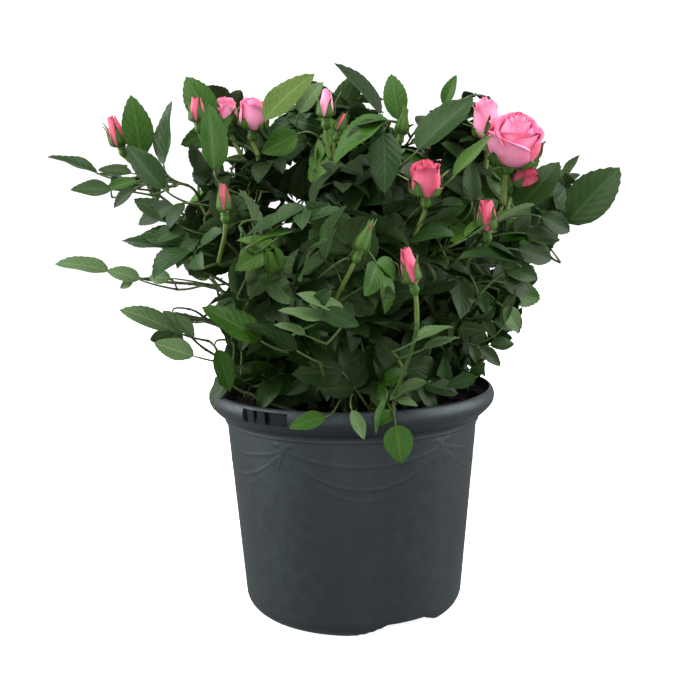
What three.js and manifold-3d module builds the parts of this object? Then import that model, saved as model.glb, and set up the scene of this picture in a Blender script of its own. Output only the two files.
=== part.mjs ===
// A patio rose in its nursery pot: a clump of thin canes that rise from the potting mix and fan out
// into a dense crown, about twice as wide as the moulded plastic pot.
// Millimetres, +Z up. The origin is the centre of the pot's foot, on the ground.
// Azimuth 0 is the front, towards -Y, and azimuths grow towards +X.

import * as THREE from "three";
import { mergeVertices } from "three/addons/utils/BufferGeometryUtils.js";
import Module from "manifold-3d";

const wasm = await Module();
wasm.setup();

// ---- driving dimensions ---------------------------------------------------------------------

const CLEARANCE = 0.35; // between pieces that rest against each other

const POT = {
  height: 150,
  rimRadius: 95, // widest, at the collar
  collarHeight: 21.5,
  bodyTopRadius: 83.5, // just under the collar
  bodyFootRadius: 73.5, // where the foot's rounding starts
  footRounding: 12,
  wall: 1.9,
  floorHeight: 11, // underside of the raised floor
  floorThickness: 1.8,
  footLip: 3.4, // how far in from the foot's edge the skirt's inner side meets the floor's underside
  floorRounding: 3, // height of the slope between the floor and the wall inside
  floorInset: 4,
  liningInset: 0.4, // how much thicker the collar is than the wall
  liningLift: 0.6,
  segments: 40,
};

// Two arches in the foot let water out from under the raised floor.
const ARCH = { azimuths: [29, 209], halfWidth: 31, height: 9.5, reach: 40, fullness: 1.25, steps: 10 };
const DRAIN = { count: 4, circleRadius: 42, radius: 5, turn: 77, sides: 8 };

// Two sockets in the collar take the hooks of a carrying handle. Each is a shallow tray with two pockets.
const SOCKET = {
  azimuths: [-34, 146],
  trayWidth: 20.4, // degrees
  trayBottom: 140,
  trayTop: 148,
  trayRadius: 91.8,
  pockets: [
    { offset: -4.6, width: 2 }, // degrees
    { offset: 1.3, width: 2 },
  ],
  pocketBottom: 141.6,
  pocketTop: 147,
  pocketRadius: 90.2,
  padRadius: 88.6,
  padMargin: 3, // degrees
  padFoot: 141.3,
  padTop: 148.6,
};

const MIX = { surface: 138.5, roughness: 1.6, lump: 14, edgeDrop: 4, foot: 5, rings: 4, segments: 30 };

const CANE = {
  buried: 8,
  footRadius: 2.3,
  endRadius: 1.7,
  flare: 0.8,
  flareFade: 9,
  sides: 5,
  steps: 4,
  leanStart: 0.28, // how far out along its way the cane's bend is
  leanHeight: 0.55, // and how far up
};

const LEAF_MASS = {
  lobes: 4,
  middle: 0.5,
  unevenness: 0.2,
  fullest: 1.02,
  crispness: 3.1,
  detail: 2,
  smallDetail: 1,
  smallGirth: 45,
};

// Every shoot is a mass of leaves, and most are carried by a cane of their own. Lengths are from the
// pot's axis: foot is where the cane leaves the mix, and [distance, height] place the mass's fork, which
// the cane points at, and its tip. girth is the mass's radius at the fork, and taper what is left of that
// at the tip. The masses with no foot sit on the heart, whose canes carry them. Each mass is cut back from
// those before it, so the main ones come first.
const SHOOTS = [
  //     name, azimuth, foot, fork, tip, girth, taper
  shoot("heart", 20, 4, [0, 212], [4, 300], 64, 0.94),
  shoot("front_left", -44, 34, [54, 222], [154, 262], 46, 0.86),
  shoot("front_centre", 0, 30, [54, 218], [160, 260], 46, 0.84),
  shoot("front_right", 45, 34, [54, 220], [154, 260], 46, 0.86),
  shoot("back_left", -136, 34, [56, 226], [156, 290], 52, 0.84),
  shoot("back_centre", 180, 30, [56, 226], [155, 294], 52, 0.84),
  shoot("back_right", 136, 34, [56, 226], [156, 290], 52, 0.84),
  shoot("left_high", -90, 22, [80, 256], [183, 300], 46, 0.32),
  shoot("right_high", 97, 22, [80, 252], [185, 292], 48, 0.44),
  shoot("left_low", -74, 44, [78, 194], [160, 204], 30, 0.48),
  shoot("left_reach", -98, 38, [90, 214], [184, 233], 30, 0.4),
  shoot("right_low", 88, 42, [74, 204], [142, 234], 42, 0.74),
  shoot("skirt_front", 14, 48, [66, 166], [116, 128], 23, 0.7),
  shoot("skirt_left", -56, 50, [74, 170], [118, 172], 27, 0.74),
  shoot("skirt_right", 62, 50, [74, 170], [118, 174], 27, 0.74),
  shoot("skirt_back_left", -138, 50, [76, 174], [124, 186], 34, 0.84),
  shoot("skirt_back_right", 146, 50, [76, 174], [124, 186], 34, 0.84),
  shoot("crest_centre", -60, null, [6, 302], [8, 360], 46, 0.72),
  shoot("crest_left", -88, null, [56, 288], [124, 348], 44, 0.74),
  shoot("crest_right", 84, null, [58, 286], [112, 346], 44, 0.76),
  shoot("crest_back", 176, null, [60, 290], [112, 342], 44, 0.8),
  shoot("crest_front", 6, null, [56, 276], [104, 324], 40, 0.8),
];

/** One row of the table of shoots. */
function shoot(name, azimuth, foot, fork, tip, girth, taper) {
  return { name, azimuth, foot, fork, tip, girth, taper };
}

const COLOURS = {
  pot: { color: 0x3a4147, roughness: 0.55, metalness: 0 },
  mix: { color: 0x1c1410, roughness: 0.95, metalness: 0 },
  cane: { color: 0x4d6a2c, roughness: 0.6, metalness: 0 },
  leaf: { color: 0x23421f, roughness: 0.5, metalness: 0 },
};

// ---- helpers --------------------------------------------------------------------------------

const radians = THREE.MathUtils.degToRad;
const lerp = THREE.MathUtils.lerp;

/** The point at an azimuth in degrees, a distance from the axis and a height. */
function polar(azimuth, distance, height) {
  const angle = radians(azimuth);
  return new THREE.Vector3(distance * Math.sin(angle), -distance * Math.cos(angle), height);
}

/** A closed geometry as a manifold-3d solid. */
function solid(geometry) {
  const bare = geometry.index ? geometry.toNonIndexed() : geometry.clone();
  for (const name of Object.keys(bare.attributes)) if (name !== "position") bare.deleteAttribute(name);
  const merged = mergeVertices(bare, 1e-4);
  return new wasm.Manifold(
    new wasm.Mesh({
      numProp: 3,
      vertProperties: merged.attributes.position.array,
      triVerts: new Uint32Array(merged.index.array),
    }),
  );
}

/** A manifold-3d solid as a geometry. A cut may leave crumbs, so only the largest body is kept. */
function geometryOf(manifold) {
  const largest = manifold.decompose().reduce((a, b) => (b.volume() > a.volume() ? b : a));
  const mesh = largest.getMesh();
  const geometry = new THREE.BufferGeometry();
  geometry.setAttribute("position", new THREE.BufferAttribute(new Float32Array(mesh.vertProperties), 3));
  geometry.setIndex(new THREE.BufferAttribute(new Uint32Array(mesh.triVerts), 1));
  geometry.computeVertexNormals();
  return geometry;
}

/** A closed profile of [radius, height] points, turned about the Z axis. */
function turned(profile, segments) {
  const points = profile.map(([r, z]) => new THREE.Vector2(r, z));
  return new THREE.LatheGeometry(points, segments).rotateX(Math.PI / 2);
}

/** Points on an arc of a profile, from one angle to another in degrees. */
function arc(centre, radius, from, to, steps) {
  return Array.from({ length: steps + 1 }, (_, i) => {
    const angle = radians(lerp(from, to, i / steps));
    return [centre[0] + radius * Math.cos(angle), centre[1] + radius * Math.sin(angle)];
  });
}

/** A block that is a sector of a ring about the Z axis, centred on azimuth 0. */
function ringSector(inner, outer, degrees, bottom, top) {
  const half = radians(degrees / 2);
  const front = -Math.PI / 2;
  const shape = new THREE.Shape();
  shape.absarc(0, 0, outer, front - half, front + half, false);
  shape.absarc(0, 0, inner, front + half, front - half, true);
  shape.closePath();
  const depth = top - bottom;
  const block = new THREE.ExtrudeGeometry(shape, { depth, bevelEnabled: false, curveSegments: 3 });
  return block.translate(0, 0, bottom);
}

/** A smooth, repeatable wobble from -1 to 1 over space, different for each seed. */
function wobble(x, y, z, seed) {
  return (
    0.5 * Math.sin(1.7 * x + 2.3 * y + 1.1 * seed) +
    0.3 * Math.sin(2.9 * y - 2.1 * z + 2.7 * seed) +
    0.2 * Math.sin(4.1 * z + 3.3 * x - 1.9 * seed)
  );
}

// ---- the pot --------------------------------------------------------------------------------

/** Radius of the pot's outer wall at a height, between the foot's rounding and the collar. */
function bodyRadius(z) {
  const top = POT.height - POT.collarHeight;
  return lerp(POT.bodyFootRadius, POT.bodyTopRadius, (z - POT.footRounding) / (top - POT.footRounding));
}

/** The collar's outer section as [distance in from the rim radius, height above the collar's lower edge]. */
const COLLAR = [
  [10.6, 0],
  [9.7, 4],
  [5.4, 7],
  [1.1, 11.8],
  [0, 16],
  [1.2, 20.1],
  [3, 21.5],
];

/** The moulded section: floor, foot skirt, tapered wall, and a collar that swells out to a rolled top. */
function potProfile() {
  const { height, rimRadius, collarHeight, footRounding, wall, floorHeight, liningInset, liningLift } = POT;
  const collarFoot = height - collarHeight;
  const footEdge = POT.bodyFootRadius - footRounding;
  const floorTop = floorHeight + POT.floorThickness;
  const slopeTop = floorTop + POT.floorRounding;
  const collar = COLLAR.map(([inwards, up]) => [rimRadius - inwards, collarFoot + up]);
  const lining = collar.slice(1, -2).map(([radius, z]) => [radius - wall - liningInset, z + liningLift]);
  return [
    [0, floorHeight],
    [bodyRadius(floorHeight) - wall - liningLift, floorHeight],
    [footEdge + POT.footLip, POT.footLip],
    [footEdge - wall, 0],
    ...arc([footEdge, footRounding], footRounding, -90, 0, 3),
    [bodyRadius(collarFoot - liningLift), collarFoot - liningLift],
    ...collar,
    ...lining.reverse(),
    [bodyRadius(collarFoot) - wall, collarFoot - 1],
    [bodyRadius(slopeTop) - wall, slopeTop],
    [bodyRadius(floorHeight) - wall - POT.floorInset, floorTop],
    [0, floorTop],
  ];
}

/** What an arch takes out of the foot: a low hump with long shoulders, pushed out along the radius. */
function archCutter(azimuth) {
  const { halfWidth, height, reach, fullness, steps } = ARCH;
  const hump = (s) => height * Math.min(1, fullness * (0.5 + 0.5 * Math.cos(Math.PI * s)));
  const shape = new THREE.Shape();
  shape.moveTo(-halfWidth, -1);
  for (let i = 0; i <= steps; i++) {
    const s = lerp(-1, 1, i / steps);
    shape.lineTo(s * halfWidth, hump(s));
  }
  shape.lineTo(halfWidth, -1);
  shape.closePath();
  const block = new THREE.ExtrudeGeometry(shape, { depth: reach, bevelEnabled: false });
  return solid(block.rotateX(Math.PI / 2).translate(0, -reach, 0).rotateZ(radians(azimuth)));
}

/** The pad behind a handle socket, which stands in from the collar's lining. */
function socketPad(azimuth) {
  const { padRadius, trayRadius, trayWidth, padMargin, padFoot, padTop } = SOCKET;
  const block = ringSector(padRadius, trayRadius + 1, trayWidth + padMargin, padFoot, padTop);
  return solid(block.rotateZ(radians(azimuth)));
}

/** What a handle socket takes out of the collar and its pad. */
function socketCutter(azimuth) {
  const s = SOCKET;
  const beyond = POT.rimRadius + 3;
  let cutter = solid(ringSector(s.trayRadius, beyond, s.trayWidth, s.trayBottom, s.trayTop));
  for (const { offset, width } of s.pockets) {
    const pocket = ringSector(s.pocketRadius, beyond, width, s.pocketBottom, s.pocketTop);
    cutter = cutter.add(solid(pocket.rotateZ(radians(offset))));
  }
  return cutter.rotate([0, 0, azimuth]);
}

/** A drain hole through the raised floor. */
function drainCutter(index) {
  const { count, circleRadius, radius, turn, sides } = DRAIN;
  const hole = new THREE.CylinderGeometry(radius, radius, 4 * POT.floorThickness, sides);
  const centre = polar(turn + (360 * index) / count, circleRadius, POT.floorHeight + POT.floorThickness / 2);
  return solid(hole.rotateX(Math.PI / 2).translate(...centre));
}

/** The whole pot, one moulding. */
function pot() {
  let body = solid(turned(potProfile(), POT.segments));
  for (const azimuth of SOCKET.azimuths) body = body.add(socketPad(azimuth)).subtract(socketCutter(azimuth));
  for (const azimuth of ARCH.azimuths) body = body.subtract(archCutter(azimuth));
  for (let i = 0; i < DRAIN.count; i++) body = body.subtract(drainCutter(i));
  return body;
}

/** The pot's outer shape as a solid block a little oversize, for cutting leaves back from it. */
function potEnvelope() {
  const { height, rimRadius, collarHeight } = POT;
  const side = COLLAR.map(([inwards, up]) => [rimRadius - inwards + CLEARANCE, height - collarHeight + up]);
  const middle = height / 2;
  const profile = [[0, middle], [bodyRadius(middle) + CLEARANCE, middle], ...side, [0, height]];
  const block = solid(turned(profile, POT.segments));
  return block.add(block.translate([0, 0, CLEARANCE]));
}

// ---- the potting mix ------------------------------------------------------------------------

/** The block of potting mix that fills the pot to just below the rim, with a lumpy surface. */
function pottingMix() {
  const { height, collarHeight, wall, floorHeight, floorThickness } = POT;
  const gap = wall + CLEARANCE;
  const base = floorHeight + floorThickness + CLEARANCE;
  const collarFoot = height - collarHeight;
  const rim = POT.rimRadius - COLLAR[0][0] - gap;
  const surface = Array.from({ length: MIX.rings }, (_, i) => [(rim - 1) * (1 - i / MIX.rings), MIX.surface]);
  const profile = [
    [0, base],
    [bodyRadius(floorHeight) - gap - MIX.foot, base],
    [bodyRadius(base + MIX.foot) - gap, base + MIX.foot],
    [bodyRadius(collarFoot) - gap, collarFoot],
    [rim, MIX.surface - MIX.edgeDrop],
    ...surface,
    [0, MIX.surface],
  ];
  const block = turned(profile, MIX.segments);
  const position = block.attributes.position;
  for (let i = 0; i < position.count; i++) {
    if (position.getZ(i) < MIX.surface - 0.5) continue;
    const lift = wobble(position.getX(i) / MIX.lump, position.getY(i) / MIX.lump, 0, 3);
    position.setZ(i, MIX.surface + MIX.roughness * lift);
  }
  return solid(block);
}

// ---- canes ----------------------------------------------------------------------------------

/** The line of a cane: straight up out of the mix, then leaning over towards the fork of its mass. */
function caneCurve({ azimuth, foot, fork }) {
  const start = polar(azimuth, foot, MIX.surface - CANE.buried);
  const end = polar(azimuth, ...fork);
  const bend = start.clone().lerp(end, CANE.leanStart).setZ(lerp(start.z, end.z, CANE.leanHeight));
  return new THREE.QuadraticBezierCurve3(start, bend, end);
}

/** A round bar that tapers from its flared foot, under the mix, to its fork, bent along the cane's line. */
function cane(shoot) {
  const curve = caneCurve(shoot);
  const bar = new THREE.CylinderGeometry(1, 1, 1, CANE.sides, CANE.steps).rotateX(Math.PI / 2);
  const position = bar.attributes.position;
  const side = new THREE.Vector3(1, 0, 0);
  for (let i = 0; i < position.count; i++) {
    const t = position.getZ(i) + 0.5;
    const tangent = curve.getTangent(t);
    const up = new THREE.Vector3().crossVectors(tangent, side).normalize();
    const across = new THREE.Vector3().crossVectors(up, tangent);
    const radius = lerp(CANE.footRadius, CANE.endRadius, t) + CANE.flare * Math.exp(-CANE.flareFade * t);
    const centre = curve.getPoint(t);
    centre.addScaledVector(across, radius * position.getX(i)).addScaledVector(up, radius * position.getY(i));
    position.setXYZ(i, centre.x, centre.y, centre.z);
  }
  return solid(bar);
}

// ---- masses of leaves -----------------------------------------------------------------------

/** A mass's lobes: a chain of balls from the fork to the tip, each thinner than the last. */
function lobesOf({ azimuth, fork, tip, girth, taper }) {
  const [start, end] = [polar(azimuth, ...fork), polar(azimuth, ...tip)];
  const along = end.clone().sub(start);
  const last = 1 - (girth * taper) / along.length();
  return Array.from({ length: LEAF_MASS.lobes }, (_, i) => {
    const s = i / (LEAF_MASS.lobes - 1);
    return { centre: start.clone().addScaledVector(along, last * s), radius: girth * lerp(1, taper, s) };
  });
}

/** How far a ray from a point runs before it leaves the last of the lobes. */
function reachThrough(lobes, origin, direction) {
  let reach = 0;
  for (const { centre, radius } of lobes) {
    const offset = origin.clone().sub(centre);
    const b = offset.dot(direction);
    const inside = b * b - offset.lengthSq() + radius * radius;
    if (inside > 0) reach = Math.max(reach, -b + Math.sqrt(inside));
  }
  return reach;
}

/** One uneven closed mass of leaves, as if a skin were shrunk over its chain of lobes. */
function leafMass(shoot, seed, grow = 0) {
  const lobes = lobesOf(shoot);
  const origin = lobes[0].centre.clone().lerp(lobes.at(-1).centre, LEAF_MASS.middle);
  const ball = unitBall(shoot.girth < LEAF_MASS.smallGirth ? LEAF_MASS.smallDetail : LEAF_MASS.detail);
  const position = ball.attributes.position;
  const direction = new THREE.Vector3();
  for (let i = 0; i < position.count; i++) {
    direction.fromBufferAttribute(position, i).normalize();
    const [x, y, z] = direction.toArray().map((v) => v * LEAF_MASS.crispness);
    const uneven = Math.min(1 + LEAF_MASS.unevenness * wobble(x, y, z, seed), LEAF_MASS.fullest);
    const reach = reachThrough(lobes, origin, direction) * uneven + grow;
    const { x: px, y: py, z: pz } = direction.multiplyScalar(reach).add(origin);
    position.setXYZ(i, px, py, pz);
  }
  return solid(ball);
}

/** A unit ball of even triangles, with shared vertices. */
function unitBall(detail) {
  const ball = new THREE.IcosahedronGeometry(1, detail);
  ball.deleteAttribute("normal");
  ball.deleteAttribute("uv");
  return mergeVertices(ball, 1e-4);
}

/** Every mass, each cut back from the pot and from the masses before it. */
function leafMasses() {
  let taken = potEnvelope();
  return SHOOTS.map((shoot, i) => {
    const mass = leafMass(shoot, i + 1).subtract(taken);
    taken = taken.add(leafMass(shoot, i + 1, CLEARANCE));
    return mass;
  });
}

/** All the masses a little oversize, as one block that the canes end against. */
function leafEnvelope() {
  return SHOOTS.map((shoot, i) => leafMass(shoot, i + 1, CLEARANCE)).reduce((a, b) => a.add(b));
}

// ---- the assembly ---------------------------------------------------------------------------

const plant = new THREE.Group();
plant.name = "potted_rose";

/** Adds one named piece with its own finish. */
function place(name, manifold, finish) {
  const piece = new THREE.Mesh(geometryOf(manifold), new THREE.MeshStandardMaterial(finish));
  piece.name = name;
  plant.add(piece);
}

const mix = pottingMix();
const trim = leafEnvelope().add(mix.translate([0, 0, CLEARANCE]));

place("pot", pot(), COLOURS.pot);
place("potting_mix", mix, COLOURS.mix);
for (const shoot of SHOOTS.filter(({ foot }) => foot)) {
  place(`cane_${shoot.name}`, cane(shoot).subtract(trim), COLOURS.cane);
}
leafMasses().forEach((mass, i) => place(`leaves_${SHOOTS[i].name}`, mass, COLOURS.leaf));

export default plant;
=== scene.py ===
"""A patio rose in its nursery pot, grown and dressed for a studio picture.

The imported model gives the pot, the canes and the masses of leaves their places. Round them this script
models the moulded pot with its swags and handle sockets, crumbly potting mix, canes with prickles, and a
crown that grows on from the canes by a seeded rule: boughs, twigs, compound leaves, buds and roses. The
flowers, the lead leaves and the gaps to the sky have tables of places of their own.

Lengths are millimetres until a mesh is made, and angles are degrees. Azimuth 0 is the front, towards -Y, and
azimuths grow towards +X.
"""

from __future__ import annotations

import logging
import math
from collections.abc import Iterable, Sequence
from dataclasses import dataclass, field
from enum import Enum
from functools import lru_cache

import bpy
import numpy as np
from mathutils import Matrix, Vector
from mathutils.bvhtree import BVHTree


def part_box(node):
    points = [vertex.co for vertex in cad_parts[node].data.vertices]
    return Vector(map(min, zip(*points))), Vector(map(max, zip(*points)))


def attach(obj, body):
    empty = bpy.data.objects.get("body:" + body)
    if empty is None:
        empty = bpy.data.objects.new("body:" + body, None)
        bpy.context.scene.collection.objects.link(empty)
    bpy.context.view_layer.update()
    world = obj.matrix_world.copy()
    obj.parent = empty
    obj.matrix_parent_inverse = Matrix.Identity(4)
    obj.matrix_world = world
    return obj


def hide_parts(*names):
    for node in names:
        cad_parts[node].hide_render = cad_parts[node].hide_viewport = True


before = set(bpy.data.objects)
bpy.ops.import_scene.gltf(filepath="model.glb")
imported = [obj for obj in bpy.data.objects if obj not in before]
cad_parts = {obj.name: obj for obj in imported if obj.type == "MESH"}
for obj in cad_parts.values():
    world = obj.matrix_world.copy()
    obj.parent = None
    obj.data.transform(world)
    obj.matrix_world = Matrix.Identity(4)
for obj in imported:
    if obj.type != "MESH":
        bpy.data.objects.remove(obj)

log = logging.getLogger("potted_rose")

Array = np.ndarray
Chance = np.random.Generator
Piece = bpy.types.Object
Triple = tuple[float, float, float]
Spot = tuple[Array, Array, str]

MM = 0.001
UP = np.array([0.0, 0.0, 1.0])
FRONT_VIEW = np.array([0.0, -665.0, 272.0])
GOLDEN_TURN = 137.5
RIM_CLEAR = 153.5
RIM_ZONE = (80.0, 99.5)
BODY = "root"


# ---- points, directions and lines ----


def vec(x: float, y: float, z: float) -> Array:
    """A point or a direction."""
    return np.array([x, y, z], float)


def unit(v: Array) -> Array:
    """The direction of v, at length one."""
    return v / max(float(np.linalg.norm(v)), 1e-9)


def square_to(direction: Array, hint: Array) -> Array:
    """The direction nearest to a hint that is square to another direction.

    Args:
        direction: The direction to be square to, at length one.
        hint: The direction to keep near.

    Returns:
        A direction at length one.
    """
    rest = hint - direction * float(hint @ direction)
    if float(rest @ rest) < 1e-8:
        rest = np.cross(direction, vec(direction[1], direction[2], direction[0]) + vec(0.3, 0.1, 0.7))
    return unit(rest)


def turned(v: Array, axis: Array, degrees: float) -> Array:
    """v turned about an axis.

    Args:
        v: The direction to turn.
        axis: The axis, at length one.
        degrees: How far, counter-clockwise as seen from the axis's head.

    Returns:
        The turned direction.
    """
    angle = math.radians(degrees)
    along = axis * float(v @ axis)
    return along + (v - along) * math.cos(angle) + np.cross(axis, v) * math.sin(angle)


def polar(azimuth: float, distance: float, height: float) -> Array:
    """The point at an azimuth, a distance from the pot's axis and a height."""
    angle = math.radians(azimuth)
    return vec(distance * math.sin(angle), -distance * math.cos(angle), height)


def aside_of(azimuth: Array, centre: float) -> Array:
    """How far azimuths are from one of them, from -180 to 180 degrees."""
    return np.mod(azimuth - centre + 180.0, 360.0) - 180.0


def ease(low: float, high: float, value: Array | float) -> Array:
    """A smooth step from 0 at low to 1 at high."""
    s = np.clip((np.asarray(value, float) - low) / (high - low), 0.0, 1.0)
    return s * s * (3.0 - 2.0 * s)


def bezier(a: Array, b: Array, c: Array, d: Array, count: int) -> Array:
    """Points along a cubic curve.

    Args:
        a: Where it starts.
        b: The handle that it leaves towards.
        c: The handle that it arrives from.
        d: Where it ends.
        count: How many points.

    Returns:
        The points, one a row.
    """
    t = np.linspace(0.0, 1.0, count)[:, None]
    s = 1.0 - t
    return a * s**3 + b * 3 * s * s * t + c * 3 * s * t * t + d * t**3


def smooth_line(points: Sequence[Sequence[float]], step: float) -> Array:
    """A smooth line through points, as a Catmull-Rom spline.

    Args:
        points: The points that it passes through.
        step: About how far apart its own points are.

    Returns:
        The line's points, one a row.
    """
    knots = np.array(points, float)
    padded = np.vstack([2 * knots[0] - knots[1], knots, 2 * knots[-1] - knots[-2]])
    rows = []
    for a, b, c, d in zip(padded, padded[1:], padded[2:], padded[3:]):
        count = max(1, round(float(np.linalg.norm(c - b)) / step))
        for t in np.arange(count) / count:
            cubic = (3 * b - a - 3 * c + d) * t**3
            rows.append(0.5 * (2 * b + (c - a) * t + (2 * a - 5 * b + 4 * c - d) * t**2 + cubic))
    return np.vstack([rows, knots[-1]])


def box_of(node: str) -> tuple[Array, Array]:
    """A node's lowest and highest corners in millimetres."""
    low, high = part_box(node)
    return np.array(low) / MM, np.array(high) / MM


# ---- shells and piles of shells ----


@dataclass(frozen=True)
class Weave:
    """How the points of one kind of closed shell are joined into faces.

    Attributes:
        corners: The faces' corners one after another.
        sizes: How many corners each face has.
        behind: True for each face on the shell's back.
        rim: True for each point on the edge between front and back.
        skin: Where each point lies on the skin, along and across, from 0 to 1.
    """

    corners: Array
    sizes: Array
    behind: Array
    rim: Array
    skin: Array


def weave_of(faces: Sequence[Sequence[int]], behind: Sequence[bool], rim: Array, skin: Array) -> Weave:
    """A weave from plain lists of faces.

    Args:
        faces: Each face's corners.
        behind: True for each face on the back.
        rim: True for each point on the rim.
        skin: Each point's place on the skin.

    Returns:
        The weave.
    """
    corners = np.fromiter((c for f in faces for c in f), np.int32)
    sizes = np.array([len(f) for f in faces], np.int32)
    return Weave(corners, sizes, np.array(behind, bool), rim, skin)


def ring_faces(rings: int, sides: int) -> list[list[int]]:
    """The faces that join each ring of points to the next.

    Args:
        rings: How many rings of points.
        sides: How many points in each.

    Returns:
        Each face's corners, ring by ring.
    """
    faces = []
    for i in range(rings - 1):
        for k in range(sides):
            a, b = i * sides + k, i * sides + (k + 1) % sides
            faces.append([a, b, b + sides, a + sides])
    return faces


def turned_faces(rings: int, sides: int) -> list[list[int]]:
    """The faces of a turned solid, whose two middle points come after its rings.

    Args:
        rings: How many rings of points.
        sides: How many points in each.

    Returns:
        Each face's corners, with the two ends last.
    """
    faces = ring_faces(rings, sides)
    first, last = rings * sides, (rings - 1) * sides
    for k in range(sides):
        after = (k + 1) % sides
        faces += [[first, after, k], [first + 1, last + k, last + after]]
    return faces


@lru_cache(maxsize=None)
def tube_weave(rings: int, sides: int) -> Weave:
    """A round bar of rings with flat ends.

    Args:
        rings: How many rings of points.
        sides: How many points in each.

    Returns:
        The weave.
    """
    ends = [list(range(sides))[::-1], [(rings - 1) * sides + k for k in range(sides)]]
    faces = ends + ring_faces(rings, sides)
    along, across = np.meshgrid(np.linspace(0, 1, rings), np.linspace(0, 1, sides), indexing="ij")
    skin = np.stack([along.ravel(), across.ravel()], 1)
    return weave_of(faces, [False] * len(faces), np.zeros(rings * sides, bool), skin)


@lru_cache(maxsize=None)
def sheet_weave(rows: int, columns: int, stride: int) -> Weave:
    """A thin sheet, whose back meets its front all round the edge.

    Args:
        rows: Rows of points on the front.
        columns: Columns of points on the front.
        stride: The back keeps every stride-th column.

    Returns:
        The weave. The front's points come first, row by row, and then the back's, with none on the edge.
    """
    kept = list(range(stride, columns - 1, stride))
    place = {}
    for i in range(1, rows - 1):
        for j in kept:
            place[i, j] = rows * columns + len(place)

    def back(i: int, j: int) -> int:
        """The back's point at a row and column, which on the edge is the front's."""
        return place.get((i, j), i * columns + j)

    faces, behind = [], []
    for i in range(rows - 1):
        for j in range(columns - 1):
            a = i * columns + j
            faces.append([a, a + columns, a + columns + 1, a + 1])
            behind.append(False)
        for j in range(0, columns - 1, stride):
            between = range(j + 1, j + stride)
            near = [i * columns + m for m in between if i == 0]
            far = [(i + 1) * columns + m for m in reversed(between) if i + 1 == rows - 1]
            face = [back(i, j)] + near + [back(i, j + stride), back(i + 1, j + stride)]
            faces.append(face + far + [back(i + 1, j)])
            behind.append(True)
    front_rim = np.zeros((rows, columns), bool)
    front_rim[[0, -1], :] = True
    front_rim[:, [0, -1]] = True
    along, across = np.meshgrid(np.linspace(0, 1, rows), np.linspace(0, 1, columns), indexing="ij")
    grid = np.stack([along, across], -1)
    rim = np.concatenate([front_rim.ravel(), np.zeros(len(place), bool)])
    skin = np.concatenate([grid.reshape(-1, 2), grid[1:-1, kept].reshape(-1, 2)])
    return weave_of(faces, behind, rim, skin)


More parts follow.
